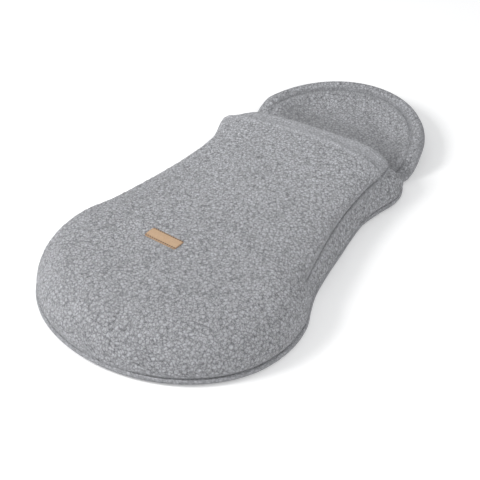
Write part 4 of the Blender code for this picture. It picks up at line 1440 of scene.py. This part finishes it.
@dataclass
class SidePanel:
    """One side of the body between the base seam and the zip."""

    sizes: BagSizes
    cloth: FleeceCloth
    side: Side
    filling: Inflation
    rows: int = 165
    columns: int = 32
    seam_round: float = 0.0032
    bulge: float = 0.0055
    fold_gap: float = 0.0004
    # painted shade along the seams, painted highlight on the lip beside the zip
    seam_tone: float = 0.82
    zip_tone: float = 0.08

    def points(self, share: Array, level: Array, depth: float) -> tuple[Array, Array, Array]:
        """World points at shares of the length and of the height, at a depth.

        Args:
            share: Shares of the panel's length, from the foot pocket's seam to its end.
            level: Shares of its height, from the base seam to the zip.
            depth: Depth under the outer cloth.

        Returns:
            World points, places along and places across.
        """
        s = self.sizes
        front = s.fold + self.fold_gap - s.seam_ramp * (1 - level)
        along = mix(front, s.side_end, share)
        drop = ease((along - s.side_drop) / (s.side_end - s.side_drop))
        top = mix(s.zip_height - s.lip_gap, s.base_height + s.side_end_height, drop)
        height = mix(s.base_height, top, level)
        zip_share = (height - s.base_height) / (s.zip_height - s.base_height)
        hem_share = ease((along - s.fold) / (s.zip_bend - s.fold))
        fold_share = s.fold_inset / s.dome_round
        lean = mix(s.dome_inverse((height - s.base_height) / s.dome_rise) / fold_share,
                   np.clip(zip_share, 0, 1) ** s.straight_power, hem_share)
        edge = s.half_width(along)
        outer = edge - (edge - s.zip_half(along)) * lean
        thin = mix(s.edge_thin, 1.0, np.sin(math.pi * np.clip(zip_share, 0, 1)))
        plump = np.sin(math.pi * np.clip(level, 0, 1) ** 0.8)
        bulge = self.bulge * plump * ease((along - s.fold - 0.02) / 0.06)
        across = outer + (bulge if depth == 0 else 0.0) - depth * thin
        return s.world(self.side.value * across, along, height), along, across

    def build(self) -> bpy.types.Object:
        """Make the side panel and dress it.

        Returns:
            The side panel.
        """
        s = self.sizes
        share = np.linspace(0, 1, self.rows)[:, None]
        level = np.linspace(0, 1, self.columns)[None, :]
        share, level = np.broadcast_arrays(share, level)
        outer, along, _ = self.points(share, level, 0.0)
        inner, _, _ = self.points(share, level, s.cover_depth)
        out_move, _ = self.filling.swelling(f"{self.side.word}_side", outer, inner)
        outer = outer + out_move
        rise = run_along(np.linalg.norm(np.diff(outer, axis=1), axis=2))
        from_zip = rise[:, -1:] - rise
        near = np.minimum(rise, from_zip)
        ends = np.minimum(share, 1 - share) * (s.side_end - s.fold)
        seam = self.seam_round * mix(LIPS_TIGHT, 1.0, lips_open(along))
        outer[..., 0] -= self.side.value * seam * (1 - quarter_round(np.minimum(near, ends) / seam))
        room = ease(near / 0.008) * ease(ends / 0.003)
        swell = ease(near / 0.025) * ease(ends / 0.02)
        # painted shade along the seams, painted highlight on the lip beside the zip
        tone = mix(self.seam_tone, 1.0, ease(near / 0.003))
        tone = tone + self.zip_tone * bump_at(from_zip - 0.004, 0.0025)
        zero, one = np.zeros(share.shape), np.ones(share.shape)
        name = f"{self.side.word}_side_panel"
        mesh = Pad(outer, inner, wall_steps=4).mesh(name, {
            "pile_room": (room, zero), "swell_room": (swell, zero), "lined": (zero, one),
            "tone": (tone, one)})
        piece = place_piece(name, mesh)
        self.cloth.dress(piece)
        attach(piece, "back")
        word = self.side.word
        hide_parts(f"{word}_side_shell", f"{word}_side_wadding", f"{word}_side_lining")
        return piece


# name, place across and place along of each harness slot
SLOT_PLACES = (
    ("crotch_slot", 0.0, 0.300),
    ("left_waist_slot", -0.085, 0.365), ("right_waist_slot", 0.085, 0.365),
    ("left_shoulder_slot", -0.058, 0.606), ("right_shoulder_slot", 0.058, 0.606),
)


@dataclass
class BackPanel:
    """The back: flat under the cover, with a stitched brim turned up round the head."""

    sizes: BagSizes
    cloth: FleeceCloth
    filling: Inflation
    spacing: float = 0.0029
    columns: int = 150
    border_width: float = 0.0205
    border_lift: float = 0.0014
    border_plump: float = 0.0012
    border_start: float = 0.598
    border_reach: float = 0.020
    stitch_depth: float = 0.0020
    # painted shade along the stitched groove
    stitch_tone: float = 0.10
    rim_bulge: float = 0.0022
    # painted shade in the opening under the hem
    opening_shade: float = 0.20
    opening_end: float = 0.676
    opening_reach: float = 0.045
    opening_press: float = 0.35
    slot_length: float = 0.0538
    slot_width: float = 0.0118
    slot_clear: tuple = (0.030, 0.009)
    punch_heights: tuple = (-0.01, 0.04)

    def bordered(self, along: Array) -> Array:
        """1 where the sewn border runs round the head, 0 under the cover."""
        return ease((along - self.border_start) / self.border_reach)

    def stations(self) -> Array:
        """Rows along the panel, close together at both round ends.

        Returns:
            Places along the bag.
        """
        s = self.sizes
        tip = np.arange(0, math.pi / 2, self.spacing / s.foot_round)
        foot = s.foot_round * (1 - np.cos(tip))
        crown = np.arange(0, math.pi / 2, self.spacing / s.head_round)
        head = s.length - s.head_round * (1 - np.cos(crown))
        middle = np.arange(s.foot_round, s.spine_head, self.spacing)
        return np.concatenate((foot, middle, head[::-1]))

    def top_height(self, across: Array, along: Array) -> Array:
        """Height of the upper cloth, with the sewn border.

        Args:
            across: Places across the bag.
            along: Places along the bag.

        Returns:
            Heights there.
        """
        s = self.sizes
        distance, _ = s.reach(across, along)
        lift = self.border_lift * (1 - ease((distance - self.border_width + 0.0035) / 0.004))
        groove = self.stitch_depth * bump_at(distance - self.border_width, 0.0017)
        plump = self.border_plump * bump_at(distance - self.border_width * 0.45, 0.008)
        return s.back_top(distance, along) + self.bordered(along) * (lift - groove + plump)

    def build(self) -> bpy.types.Object:
        """Make the back panel and dress it.

        Returns:
            The back panel.
        """
        s = self.sizes
        stations = self.stations()
        across, along = cloth_rows(stations, self.columns, s.half_width, self.top_height)
        distance, _ = s.reach(across, along)
        outer = s.world(across, along, self.top_height(across, along))
        inner = s.world(across, along, s.back_bottom(distance, along))
        out_move, _ = self.filling.swelling("back_panel", outer, inner)
        pillow = ease((along - 0.635) / 0.04) * ease((distance - self.border_width) / 0.01)
        outer[..., 2] += np.maximum(out_move[..., 2], 0.0) * pillow
        from_border = distance - self.border_width
        bordered = self.bordered(along)
        room = ease((distance - 0.002) / 0.006) * mix(1.0, 1 - bump_at(from_border - 0.001, 0.004), bordered)
        for _, slot_across, slot_along in SLOT_PLACES:
            gap = np.maximum(np.abs(across - slot_across) - self.slot_clear[0],
                             np.abs(along - slot_along) - self.slot_clear[1])
            room = room * ease(gap / 0.004)
        swell = ease(distance / 0.03) * ease((along - 0.60) / 0.03)
        opening = 1 - ease((along - self.opening_end) / self.opening_reach)
        opening = opening * ease((from_border - 0.004) / 0.01)
        stitched = bump_at(from_border, 0.0026) * bordered
        # painted shade in the opening under the hem and along the stitched groove
        tone = (1 - self.opening_shade * opening) * (1 - self.stitch_tone * stitched)
        room = room * (1 - self.opening_press * opening)
        zero, one = np.zeros(along.shape), np.ones(along.shape)
        mesh = Pad(outer, inner).mesh("back_panel", {
            "pile_room": (room, zero), "swell_room": (swell, zero), "lined": (zero, zero),
            "tone": (tone, one)}, self.rim_normals(stations) * self.rim_bulge)
        piece = place_piece("back_panel", mesh)
        self.cloth.dress(piece)
        self.cut_slots(piece)
        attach(piece, "back")
        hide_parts("back_shell", "back_wadding", "back_lining", "head_border")
        return piece

    def border_path(self) -> Array:
        """World points of the stitched line inside the sewn border, round the head.

        Returns:
            The points, from left to right.
        """
        s = self.sizes
        angles = np.linspace(-math.pi / 2, math.pi / 2, 90)
        across = (float(s.half_width(s.spine_head)) - self.border_width) * np.sin(angles)
        along = s.spine_head + (s.head_round - self.border_width) * np.cos(angles)
        start = np.linspace(self.border_start + 0.006, s.spine_head, 8)[:-1]
        start_half = s.half_width(start) - self.border_width
        across = np.concatenate((-start_half, across, start_half[::-1]))
        along = np.concatenate((start, along, start[::-1]))
        return s.world(across, along, self.top_height(across, along) + 0.0004)

    def rim_normals(self, stations: Array) -> Array:
        """Outward directions round the border, in the order of a pad's border.

        Args:
            stations: Places of the rows along the bag.

        Returns:
            Unit vectors.
        """
        s = self.sizes
        half = s.half_width(stations)
        slope = np.gradient(half, stations)
        right = np.stack((np.ones_like(slope), -slope, np.zeros_like(slope)), axis=1)
        right /= np.linalg.norm(right, axis=1)[:, None]
        left = right * (-1, 1, 1)
        foot = np.tile((0.0, -1.0, 0.0), (self.columns - 1, 1))
        head = np.tile((0.0, 1.0, 0.0), (self.columns - 1, 1))
        return np.concatenate((foot, right[:-1], head, left[:0:-1]))

    def cut_slots(self, piece: bpy.types.Object) -> None:
        """Cut the five harness slots through the panel.

        Args:
            piece: The back panel.
        """
        low, high = self.punch_heights
        for name, across, along in SLOT_PLACES:
            centre = self.sizes.world(across, along, 0.0)
            punch = slot_prism(f"{name}_punch", self.slot_length, self.slot_width, low, high, centre)
            cutter = place_piece(f"{name}_punch", punch)
            modifier = piece.modifiers.new("slot", "BOOLEAN")
            modifier.operation = "DIFFERENCE"
            modifier.solver = "MANIFOLD"
            modifier.object = cutter
            keep_result(piece, modifier)
            bpy.data.objects.remove(cutter, do_unlink=True)


def stadium(length: float, width: float, count: int = 20) -> Array:
    """Points round a flat slot with round ends, anticlockwise.

    Args:
        length: Whole length.
        width: Whole width.
        count: Points on each end.

    Returns:
        Places along and across the slot.
    """
    radius = width / 2
    turn = np.linspace(-math.pi / 2, math.pi / 2, count)
    right = np.stack((length / 2 - radius + radius * np.cos(turn), radius * np.sin(turn)), axis=1)
    return np.concatenate((right, -right))


def slot_prism(name: str, length: float, width: float, low: float, high: float,
               centre: Array) -> bpy.types.Mesh:
    """A closed upright prism over a slot's outline.

    Args:
        name: Name of the mesh.
        length: Length of the slot.
        width: Width of the slot.
        low: Lower height.
        high: Upper height.
        centre: World point of the slot's middle.

    Returns:
        The mesh.
    """
    ring = stadium(length, width)
    count = len(ring)
    levels = [np.column_stack((ring, np.full(count, height))) + centre for height in (low, high)]
    faces = [tuple(range(count - 1, -1, -1)), tuple(range(count, 2 * count))]
    faces += [(i, (i + 1) % count, count + (i + 1) % count, count + i) for i in range(count)]
    mesh = bpy.data.meshes.new(name)
    mesh.from_pydata(np.concatenate(levels).tolist(), [], faces)
    mesh.update()
    return mesh


# distance out from the slot and height of each corner of the binding's folded tape
BINDING_PROFILE = (
    (0.0, 0.0003), (0.0, 0.0150), (0.0001, 0.0183), (0.0005, 0.0191), (0.0015, 0.0196), (0.0026, 0.0193),
    (0.0030, 0.0188), (0.0029, 0.0182), (0.0017, 0.0178), (0.0016, 0.0150), (0.0016, 0.0003),
)


@dataclass
class SlotBinding:
    """Woven tape sewn round one harness slot."""

    sizes: BagSizes
    name: str
    across: float
    along: float
    tape: bpy.types.Material
    stitches: "StitchRow"
    length: float = 0.050
    width: float = 0.008
    corner_points: int = 32
    stitch_out: float = 0.0018
    stitch_height: float = 0.0197

    def ring(self, out: float, height: float, corner_points: int) -> Array:
        """World points of a ring round the slot, at a distance out from it and a height.

        Args:
            out: Distance out from the slot.
            height: Height.
            corner_points: Points on each round end.

        Returns:
            The points.
        """
        ring = stadium(self.length + 2 * out, self.width + 2 * out, corner_points)
        centre = self.sizes.world(self.across, self.along, 0.0)
        return np.column_stack((ring, np.full(len(ring), height))) + centre

    def build(self) -> bpy.types.Object:
        """Make the binding ring and its stitches.

        Returns:
            The binding ring.
        """
        rings = [self.ring(out, height, self.corner_points) for out, height in BINDING_PROFILE]
        size = len(rings[0])
        faces = []
        for k in range(len(rings)):
            upper, lower = k * size, ((k + 1) % len(rings)) * size
            faces += [(upper + i, upper + (i + 1) % size, lower + (i + 1) % size, lower + i)
                      for i in range(size)]
        mesh = bpy.data.meshes.new(f"{self.name}_tape_ring")
        mesh.from_pydata(np.concatenate(rings).tolist(), [], faces)
        weld(mesh)
        mesh.materials.append(self.tape)
        piece = place_piece(f"{self.name}_tape_ring", mesh)
        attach(piece, "back")
        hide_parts(f"{self.name}_binding")
        path = self.ring(self.stitch_out, self.stitch_height, 24)
        self.stitches.build(f"{self.name}_stitches", np.concatenate((path, path[:1])), "back", "woven_tape")
        return piece


def stitch_tree() -> bpy.types.NodeTree:
    """Geometry Nodes that sew a row of stitches along a path.

    Returns:
        A tree with the inputs Pitch, Length, Thread and Material.
    """
    inputs = (("Geometry", "NodeSocketGeometry", None), ("Pitch", "NodeSocketFloat", 0.003),
              ("Length", "NodeSocketFloat", 0.002), ("Thread", "NodeSocketFloat", 0.0006),
              ("Material", "NodeSocketMaterial", None))
    tree, bench, source, result = new_group(
        "sew_stitches", "GeometryNodeTree", inputs, (("Geometry", "NodeSocketGeometry"),))
    curve = bench.add("GeometryNodeMeshToCurve", {"Mesh": source.outputs["Geometry"]})
    spaced = bench.add("GeometryNodeResampleCurve",
                       {"Curve": curve.outputs[0], "Length": source.outputs["Pitch"]}, mode="LENGTH")
    tangent = bench.add("GeometryNodeInputTangent").outputs[0]
    turned = bench.add("FunctionNodeAlignRotationToVector", {"Vector": tangent}, axis="X")
    stitch = bench.add("GeometryNodeMeshUVSphere", {"Segments": 8, "Rings": 6, "Radius": 0.5})
    size = bench.add("ShaderNodeCombineXYZ", {0: source.outputs["Length"], 1: source.outputs["Thread"],
                                              2: source.outputs["Thread"]})
    placed = bench.add("GeometryNodeInstanceOnPoints", {
        "Points": spaced.outputs[0], "Instance": stitch.outputs["Mesh"], "Rotation": turned.outputs[0],
        "Scale": size.outputs[0]})
    real = bench.add("GeometryNodeRealizeInstances", {"Geometry": placed.outputs[0]})
    smooth = bench.add("GeometryNodeSetShadeSmooth", {"Geometry": real.outputs[0]})
    done = bench.add("GeometryNodeSetMaterial", {"Geometry": smooth.outputs[0],
                                                 "Material": source.outputs["Material"]})
    bench.link(done.outputs[0], result.inputs["Geometry"])
    return tree


def path_mesh(name: str, points: Array) -> bpy.types.Mesh:
    """A mesh of the edges that join a row of points.

    Args:
        name: Name of the mesh.
        points: The points in order.

    Returns:
        The mesh.
    """
    mesh = bpy.data.meshes.new(name)
    mesh.from_pydata(points.tolist(), [(i, i + 1) for i in range(len(points) - 1)], [])
    mesh.update()
    return mesh


@dataclass
class StitchRow:
    """A row of equal stitches or zip teeth along a path."""

    tree: bpy.types.NodeTree
    material: bpy.types.Material
    pitch: float
    length: float
    thread: float

    def build(self, name: str, points: Array, body: str, slot: str) -> bpy.types.Object:
        """Sew the row.

        Args:
            name: Name of the piece.
            points: World points of the path.
            body: Body that it rides on, or an empty string if the caller says how it moves.
            slot: Name of a material slot; not used.

        Returns:
            The piece.
        """
        piece = place_piece(name, path_mesh(name, points))
        bake_nodes(piece, self.tree, {"Pitch": self.pitch, "Length": self.length, "Thread": self.thread,
                                      "Material": self.material})
        if body:
            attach(piece, body)
        return piece


@dataclass
class LeatherLabel:
    """The bare tan leather label on the foot pocket, sewn down along both long edges."""

    sizes: BagSizes
    cover: Cover
    leather: bpy.types.Material
    stitches: StitchRow
    length: float = LABEL_LENGTH
    width: float = LABEL_WIDTH
    thickness: float = 0.0017
    corner: float = 0.0022
    edge_drop: float = 0.0005
    edge_round: float = 0.0009
    dark_edge: float = 0.0016
    bedding: float = 0.0008
    thread_inset: float = 0.0018
    thread_dent: float = 0.0004
    thread_lift: float = 0.0001
    rows: int = 90
    columns: int = 40

    def surface(self, x: Array, y: Array) -> Array:
        """World points on the cover under label places x along its length and y across it.

        Args:
            x: Places along the label.
            y: Places across the label.

        Returns:
            World points.
        """
        turn = math.radians(LABEL_TURN)
        across = LABEL_ACROSS + x * math.cos(turn) - y * math.sin(turn)
        along = LABEL_ALONG + x * math.sin(turn) + y * math.cos(turn)
        return self.sizes.world(across, along, self.cover.skin_height(across, along))

    def build(self) -> bpy.types.Object:
        """Make the label and its two rows of stitches.

        Returns:
            The leather.
        """
        x = self.length / 2 * np.sin(np.linspace(-math.pi / 2, math.pi / 2, self.rows))
        straight = self.length / 2 - self.corner
        over = np.clip(np.abs(x) - straight, 0, self.corner)
        half = self.width / 2 - self.corner + np.sqrt(self.corner ** 2 - over ** 2)
        v = np.sin(np.linspace(-math.pi / 2, math.pi / 2, self.columns))
        grid_x = np.repeat(x[:, None], self.columns, axis=1)
        grid_y = half[:, None] * v[None, :]
        base = self.surface(grid_x, grid_y)
        edge = np.minimum(self.length / 2 - np.abs(grid_x), half[:, None] - np.abs(grid_y))
        round_over = self.edge_drop * (1 - np.clip(edge / self.edge_round, 0, 1)) ** 2
        sewn = self.width / 2 - self.thread_inset
        dent = self.thread_dent * bump_at(np.abs(grid_y) - sewn, 0.0011)
        outer, inner = base.copy(), base.copy()
        outer[..., 2] += self.thickness - round_over - dent
        inner[..., 2] -= self.bedding
        mesh = Pad(outer, inner, wall_steps=3).mesh("label_leather", {
            "edge": (1 - ease(edge / self.dark_edge), np.ones(edge.shape))})
        mesh.materials.append(self.leather)
        piece = place_piece("label_leather", mesh)
        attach(piece, "back")
        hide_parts("leather_label")
        for word, sign in (("head", 1), ("foot", -1)):
            row = np.linspace(-straight, straight, 80)
            path = self.surface(row, np.full_like(row, sign * sewn))
            path[:, 2] += self.thickness + self.thread_lift
            thread = self.stitches.build(f"label_stitches_{word}", path, "back", "label_thread")
            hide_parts(f"label_thread_{word}")
        return piece


@dataclass
class ZipHalfRow:
    """One half of a zip: its coil of teeth and its woven tape."""

    sizes: BagSizes
    side: Side
    half: ZipHalf
    teeth: StitchRow
    tape: bpy.types.Material
    start_inset: float = 0.0088
    park: float = 0.562
    slider_length: float = 0.0120
    slider_gap: float = 0.0003
    coil_half_gap: float = 0.0006
    coil_height: float = 0.0015
    tape_near: float = 0.0024
    tape_far: float = 0.0049
    tape_half: float = 0.0003
    tape_rows: int = 110
    tape_columns: int = 6

    def line(self, count: int, height: float, out: float = 0.0) -> Array:
        """World points along the zip line at a height over it.

        Args:
            count: Number of points.
            height: Height away from the parting plane.
            out: Distance out from the line.

        Returns:
            World points.
        """
        s = self.sizes
        end = self.park - self.half.value * (self.slider_length / 2 + self.slider_gap)
        along = np.linspace(s.fold + self.start_inset, end, count)
        across = self.side.value * (s.zip_half(along) - s.coil_depth + out)
        return s.world(across, along, s.zip_height + self.half.value * height)

    def move_with_cover(self, piece: bpy.types.Object) -> None:
        """Bake the flap's half into place, and let the panel's half ride on the back.

        Args:
            piece: A coil or a tape.
        """
        if self.half is ZipHalf.FLAP:
            bend_at_fold(piece)
        else:
            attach(piece, "back")

    def build(self) -> None:
        """Make the coil and the tape."""
        stem = f"{self.side.word}_{self.half.word}"
        path = self.line(120, self.coil_half_gap + self.coil_height / 2)
        coil = self.teeth.build(f"{stem}_teeth", path, "", "zip_coil")
        self.move_with_cover(coil)
        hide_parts(f"{stem}_coil")
        shares = np.arange(self.tape_columns) / (self.tape_columns - 1)
        heights = mix(self.tape_near, self.tape_far, shares)
        outer, inner = (np.stack([self.line(self.tape_rows, height, out) for height in heights], axis=1)
                        for out in (self.tape_half, -self.tape_half))
        mesh = Pad(outer, inner, wall_steps=2).mesh(f"{stem}_woven_tape", {})
        mesh.materials.append(self.tape)
        piece = place_piece(f"{stem}_woven_tape", mesh)
        self.move_with_cover(piece)
        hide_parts(f"{stem}_tape")


@dataclass
class Studio:
    """Pale floor, soft light and the camera."""

    target: tuple = (0.026, -0.077, 0.030)
    azimuth: float = 33.2
    elevation: float = 37.9
    distance: float = 2.756
    lens: float = 135.0
    floor_half: float = 6.0
    floor_drop: float = 0.0006
    floor_glow: float = 0.16
    floor_glow_far: float = 0.6
    floor_near: float = 0.8
    floor_far: float = 1.9
    contact: float = 0.012
    ambient: float = 0.55

    def build(self) -> None:
        """Make the floor, the lamps, the world and the camera."""
        self.build_floor()
        self.build_light()
        self.build_camera()

    def build_floor(self) -> None:
        """A plain white floor that keeps the shadow, and lets light in close under the bag."""
        size = self.floor_half
        mesh = bpy.data.meshes.new("floor")
        corners = [(-size, -size, 0.0), (size, -size, 0.0), (size, size, 0.0), (-size, size, 0.0)]
        mesh.from_pydata(corners, [], [(0, 1, 2, 3)])
        floor = place_piece("floor", mesh)
        mesh.transform(Matrix.Translation((0.0, 0.0, -self.floor_drop)))
        material, bench, shader = start_material("floor_white")
        place = bench.place()
        cloud = bench.add("ShaderNodeTexNoise", {"Vector": place, "Scale": 3.0, "Detail": 2.0})
        tone = bench.mix_color(cloud.outputs["Fac"], (0.93, 0.93, 0.93, 1.0), (0.95, 0.95, 0.95, 1.0))
        bench.link(tone, shader.inputs["Base Color"])
        shader.inputs["Roughness"].default_value = 1.0
        shader.inputs["Specular IOR Level"].default_value = 0.0
        path = bench.add("ShaderNodeLightPath")
        seen = bench.math("MAXIMUM", path.outputs["Is Camera Ray"], path.outputs["Is Glossy Ray"])
        away = bench.add("ShaderNodeVectorMath", {0: place}, operation="LENGTH").outputs["Value"]
        glow = bench.remap(away, self.floor_near, self.floor_far, self.floor_glow, self.floor_glow_far)
        shader.inputs["Emission Color"].default_value = (1.0, 1.0, 1.0, 1.0)
        bench.link(bench.times(seen, glow), shader.inputs["Emission Strength"])
        clear = bench.add("ShaderNodeBsdfTransparent")
        under = bench.add("ShaderNodeNewGeometry").outputs["Backfacing"]
        close = bench.math("LESS_THAN", path.outputs["Ray Length"], self.contact)
        lit_below = bench.times(close, path.outputs["Is Diffuse Ray"])
        both = bench.add("ShaderNodeMixShader", {0: bench.math("MAXIMUM", under, lit_below),
                                                 1: shader.outputs[0], 2: clear.outputs[0]})
        output = next(node for node in bench.tree.nodes if node.type == "OUTPUT_MATERIAL")
        bench.link(both.outputs[0], output.inputs["Surface"])
        mesh.materials.append(material)

    def build_light(self) -> None:
        """A large soft lamp from the left, a weaker one from the right, and an even pale world."""
        world = bpy.data.worlds.new("studio")
        bpy.context.scene.world = world
        world.use_nodes = True
        bench = NodeBench(world.node_tree)
        path = bench.add("ShaderNodeLightPath")
        ambient = bench.add("ShaderNodeBackground", {"Color": (0.98, 0.99, 1.0, 1.0),
                                                     "Strength": self.ambient})
        seen = bench.add("ShaderNodeBackground", {"Color": (1.0, 1.0, 1.0, 1.0), "Strength": 1.0})
        shown = bench.math("MAXIMUM", path.outputs["Is Camera Ray"], path.outputs["Is Glossy Ray"])
        both = bench.add("ShaderNodeMixShader", {0: shown, 1: ambient.outputs[0], 2: seen.outputs[0]})
        output = bench.add("ShaderNodeOutputWorld")
        bench.link(both.outputs[0], output.inputs["Surface"])
        self.add_lamp("key", (-1.2, -1.3, 1.45), size=0.9, power=39.0)
        self.add_lamp("fill", (1.5, -0.5, 1.2), size=1.2, power=11.0)

    def add_lamp(self, name: str, place: tuple, size: float, power: float) -> None:
        """Add a square soft lamp that faces the bag.

        Args:
            name: Name of the lamp.
            place: Where it stands.
            size: Its side.
            power: Its power in watts.
        """
        light = bpy.data.lights.new(name, "AREA")
        light.size = size
        light.energy = power
        lamp = bpy.data.objects.new(name, light)
        bpy.context.scene.collection.objects.link(lamp)
        lamp.location = place
        lamp.rotation_euler = (Vector(self.target) - Vector(place)).to_track_quat("-Z", "Y").to_euler()

    def build_camera(self) -> None:
        """A long lens at the photograph's angle."""
        camera = bpy.data.cameras.new("camera")
        camera.lens = self.lens
        camera.sensor_width = 36.0
        view = bpy.data.objects.new("camera", camera)
        bpy.context.scene.collection.objects.link(view)
        azimuth, elevation = math.radians(self.azimuth), math.radians(self.elevation)
        back = Vector((math.sin(azimuth) * math.cos(elevation), -math.cos(azimuth) * math.cos(elevation),
                       math.sin(elevation)))
        view.location = Vector(self.target) + back * self.distance
        view.rotation_euler = back.to_track_quat("Z", "Y").to_euler()
        bpy.context.scene.camera = view
        bpy.context.scene.view_settings.view_transform = "Standard"


@dataclass
class SleepingBag:
    """The whole bag, built from its sub-assemblies."""

    sizes: BagSizes
    report: Callable[[str], None]

    def build(self) -> None:
        """Make every piece in order."""
        fleece = FleeceFinish("curly_fleece").build()
        lining = JerseyFinish("lining_jersey_cloth").build()
        leather = LeatherFinish("tan_leather_bare").build()
        brown = ThreadFinish("brown_thread").build()
        grey_thread = ThreadFinish("grey_thread", color=(0.22, 0.225, 0.24)).build()
        tape = TapeFinish("grey_woven_tape").build()
        coil = EnamelFinish("grey_nylon_coil", (0.27, 0.275, 0.29), roughness=0.5).build()
        enamel = EnamelFinish("grey_enamel_zinc", (0.24, 0.245, 0.26), roughness=0.6).build()
        cloth = FleeceCloth(pile_tree(), fleece, lining)
        sewing = stitch_tree()
        filling = Inflation()
        cover = Cover(self.sizes, cloth, filling)
        cover.build()
        self.report("cover")
        for side in Side:
            SidePanel(self.sizes, cloth, side, filling).build()
            self.report(f"{side.word} side panel")
        back = BackPanel(self.sizes, cloth, filling)
        back.build()
        seams = StitchRow(sewing, grey_thread, pitch=0.0042, length=0.0033, thread=0.0009)
        seams.build("border_stitches", back.border_path(), "back", "boucle_fleece")
        seams.build("hem_stitches", cover.hem_path(), "flap", "boucle_fleece")
        self.report("back panel and stitched seams")
        label_seams = StitchRow(sewing, brown, pitch=0.0040, length=0.0029, thread=0.0015)
        LeatherLabel(self.sizes, cover, leather, label_seams).build()
        self.report("leather label")
        tape_seams = StitchRow(sewing, grey_thread, pitch=0.0026, length=0.0018, thread=0.0005)
        for name, across, along in SLOT_PLACES:
            SlotBinding(self.sizes, name, across, along, tape, tape_seams).build()
        self.report("harness slots")
        teeth = StitchRow(sewing, coil, pitch=0.0011, length=0.0008, thread=0.0017)
        for side in Side:
            for half in ZipHalf:
                ZipHalfRow(self.sizes, side, half, teeth, tape).build()
        self.report("zips")
        for name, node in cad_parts.items():
            if name.endswith(("_slider", "_puller", "_stop")):
                for slot in node.material_slots:
                    slot.material = enamel
        self.report("zip metal")


def main() -> None:
    """Build the studio and the bag, and log each piece of the bag as it is built."""
    logging.basicConfig(level=logging.INFO, format="%(message)s")
    Studio().build()
    SleepingBag(BagSizes(), lambda piece: LOG.info("built %s", piece)).build()


if __name__ == "__main__":
    main()
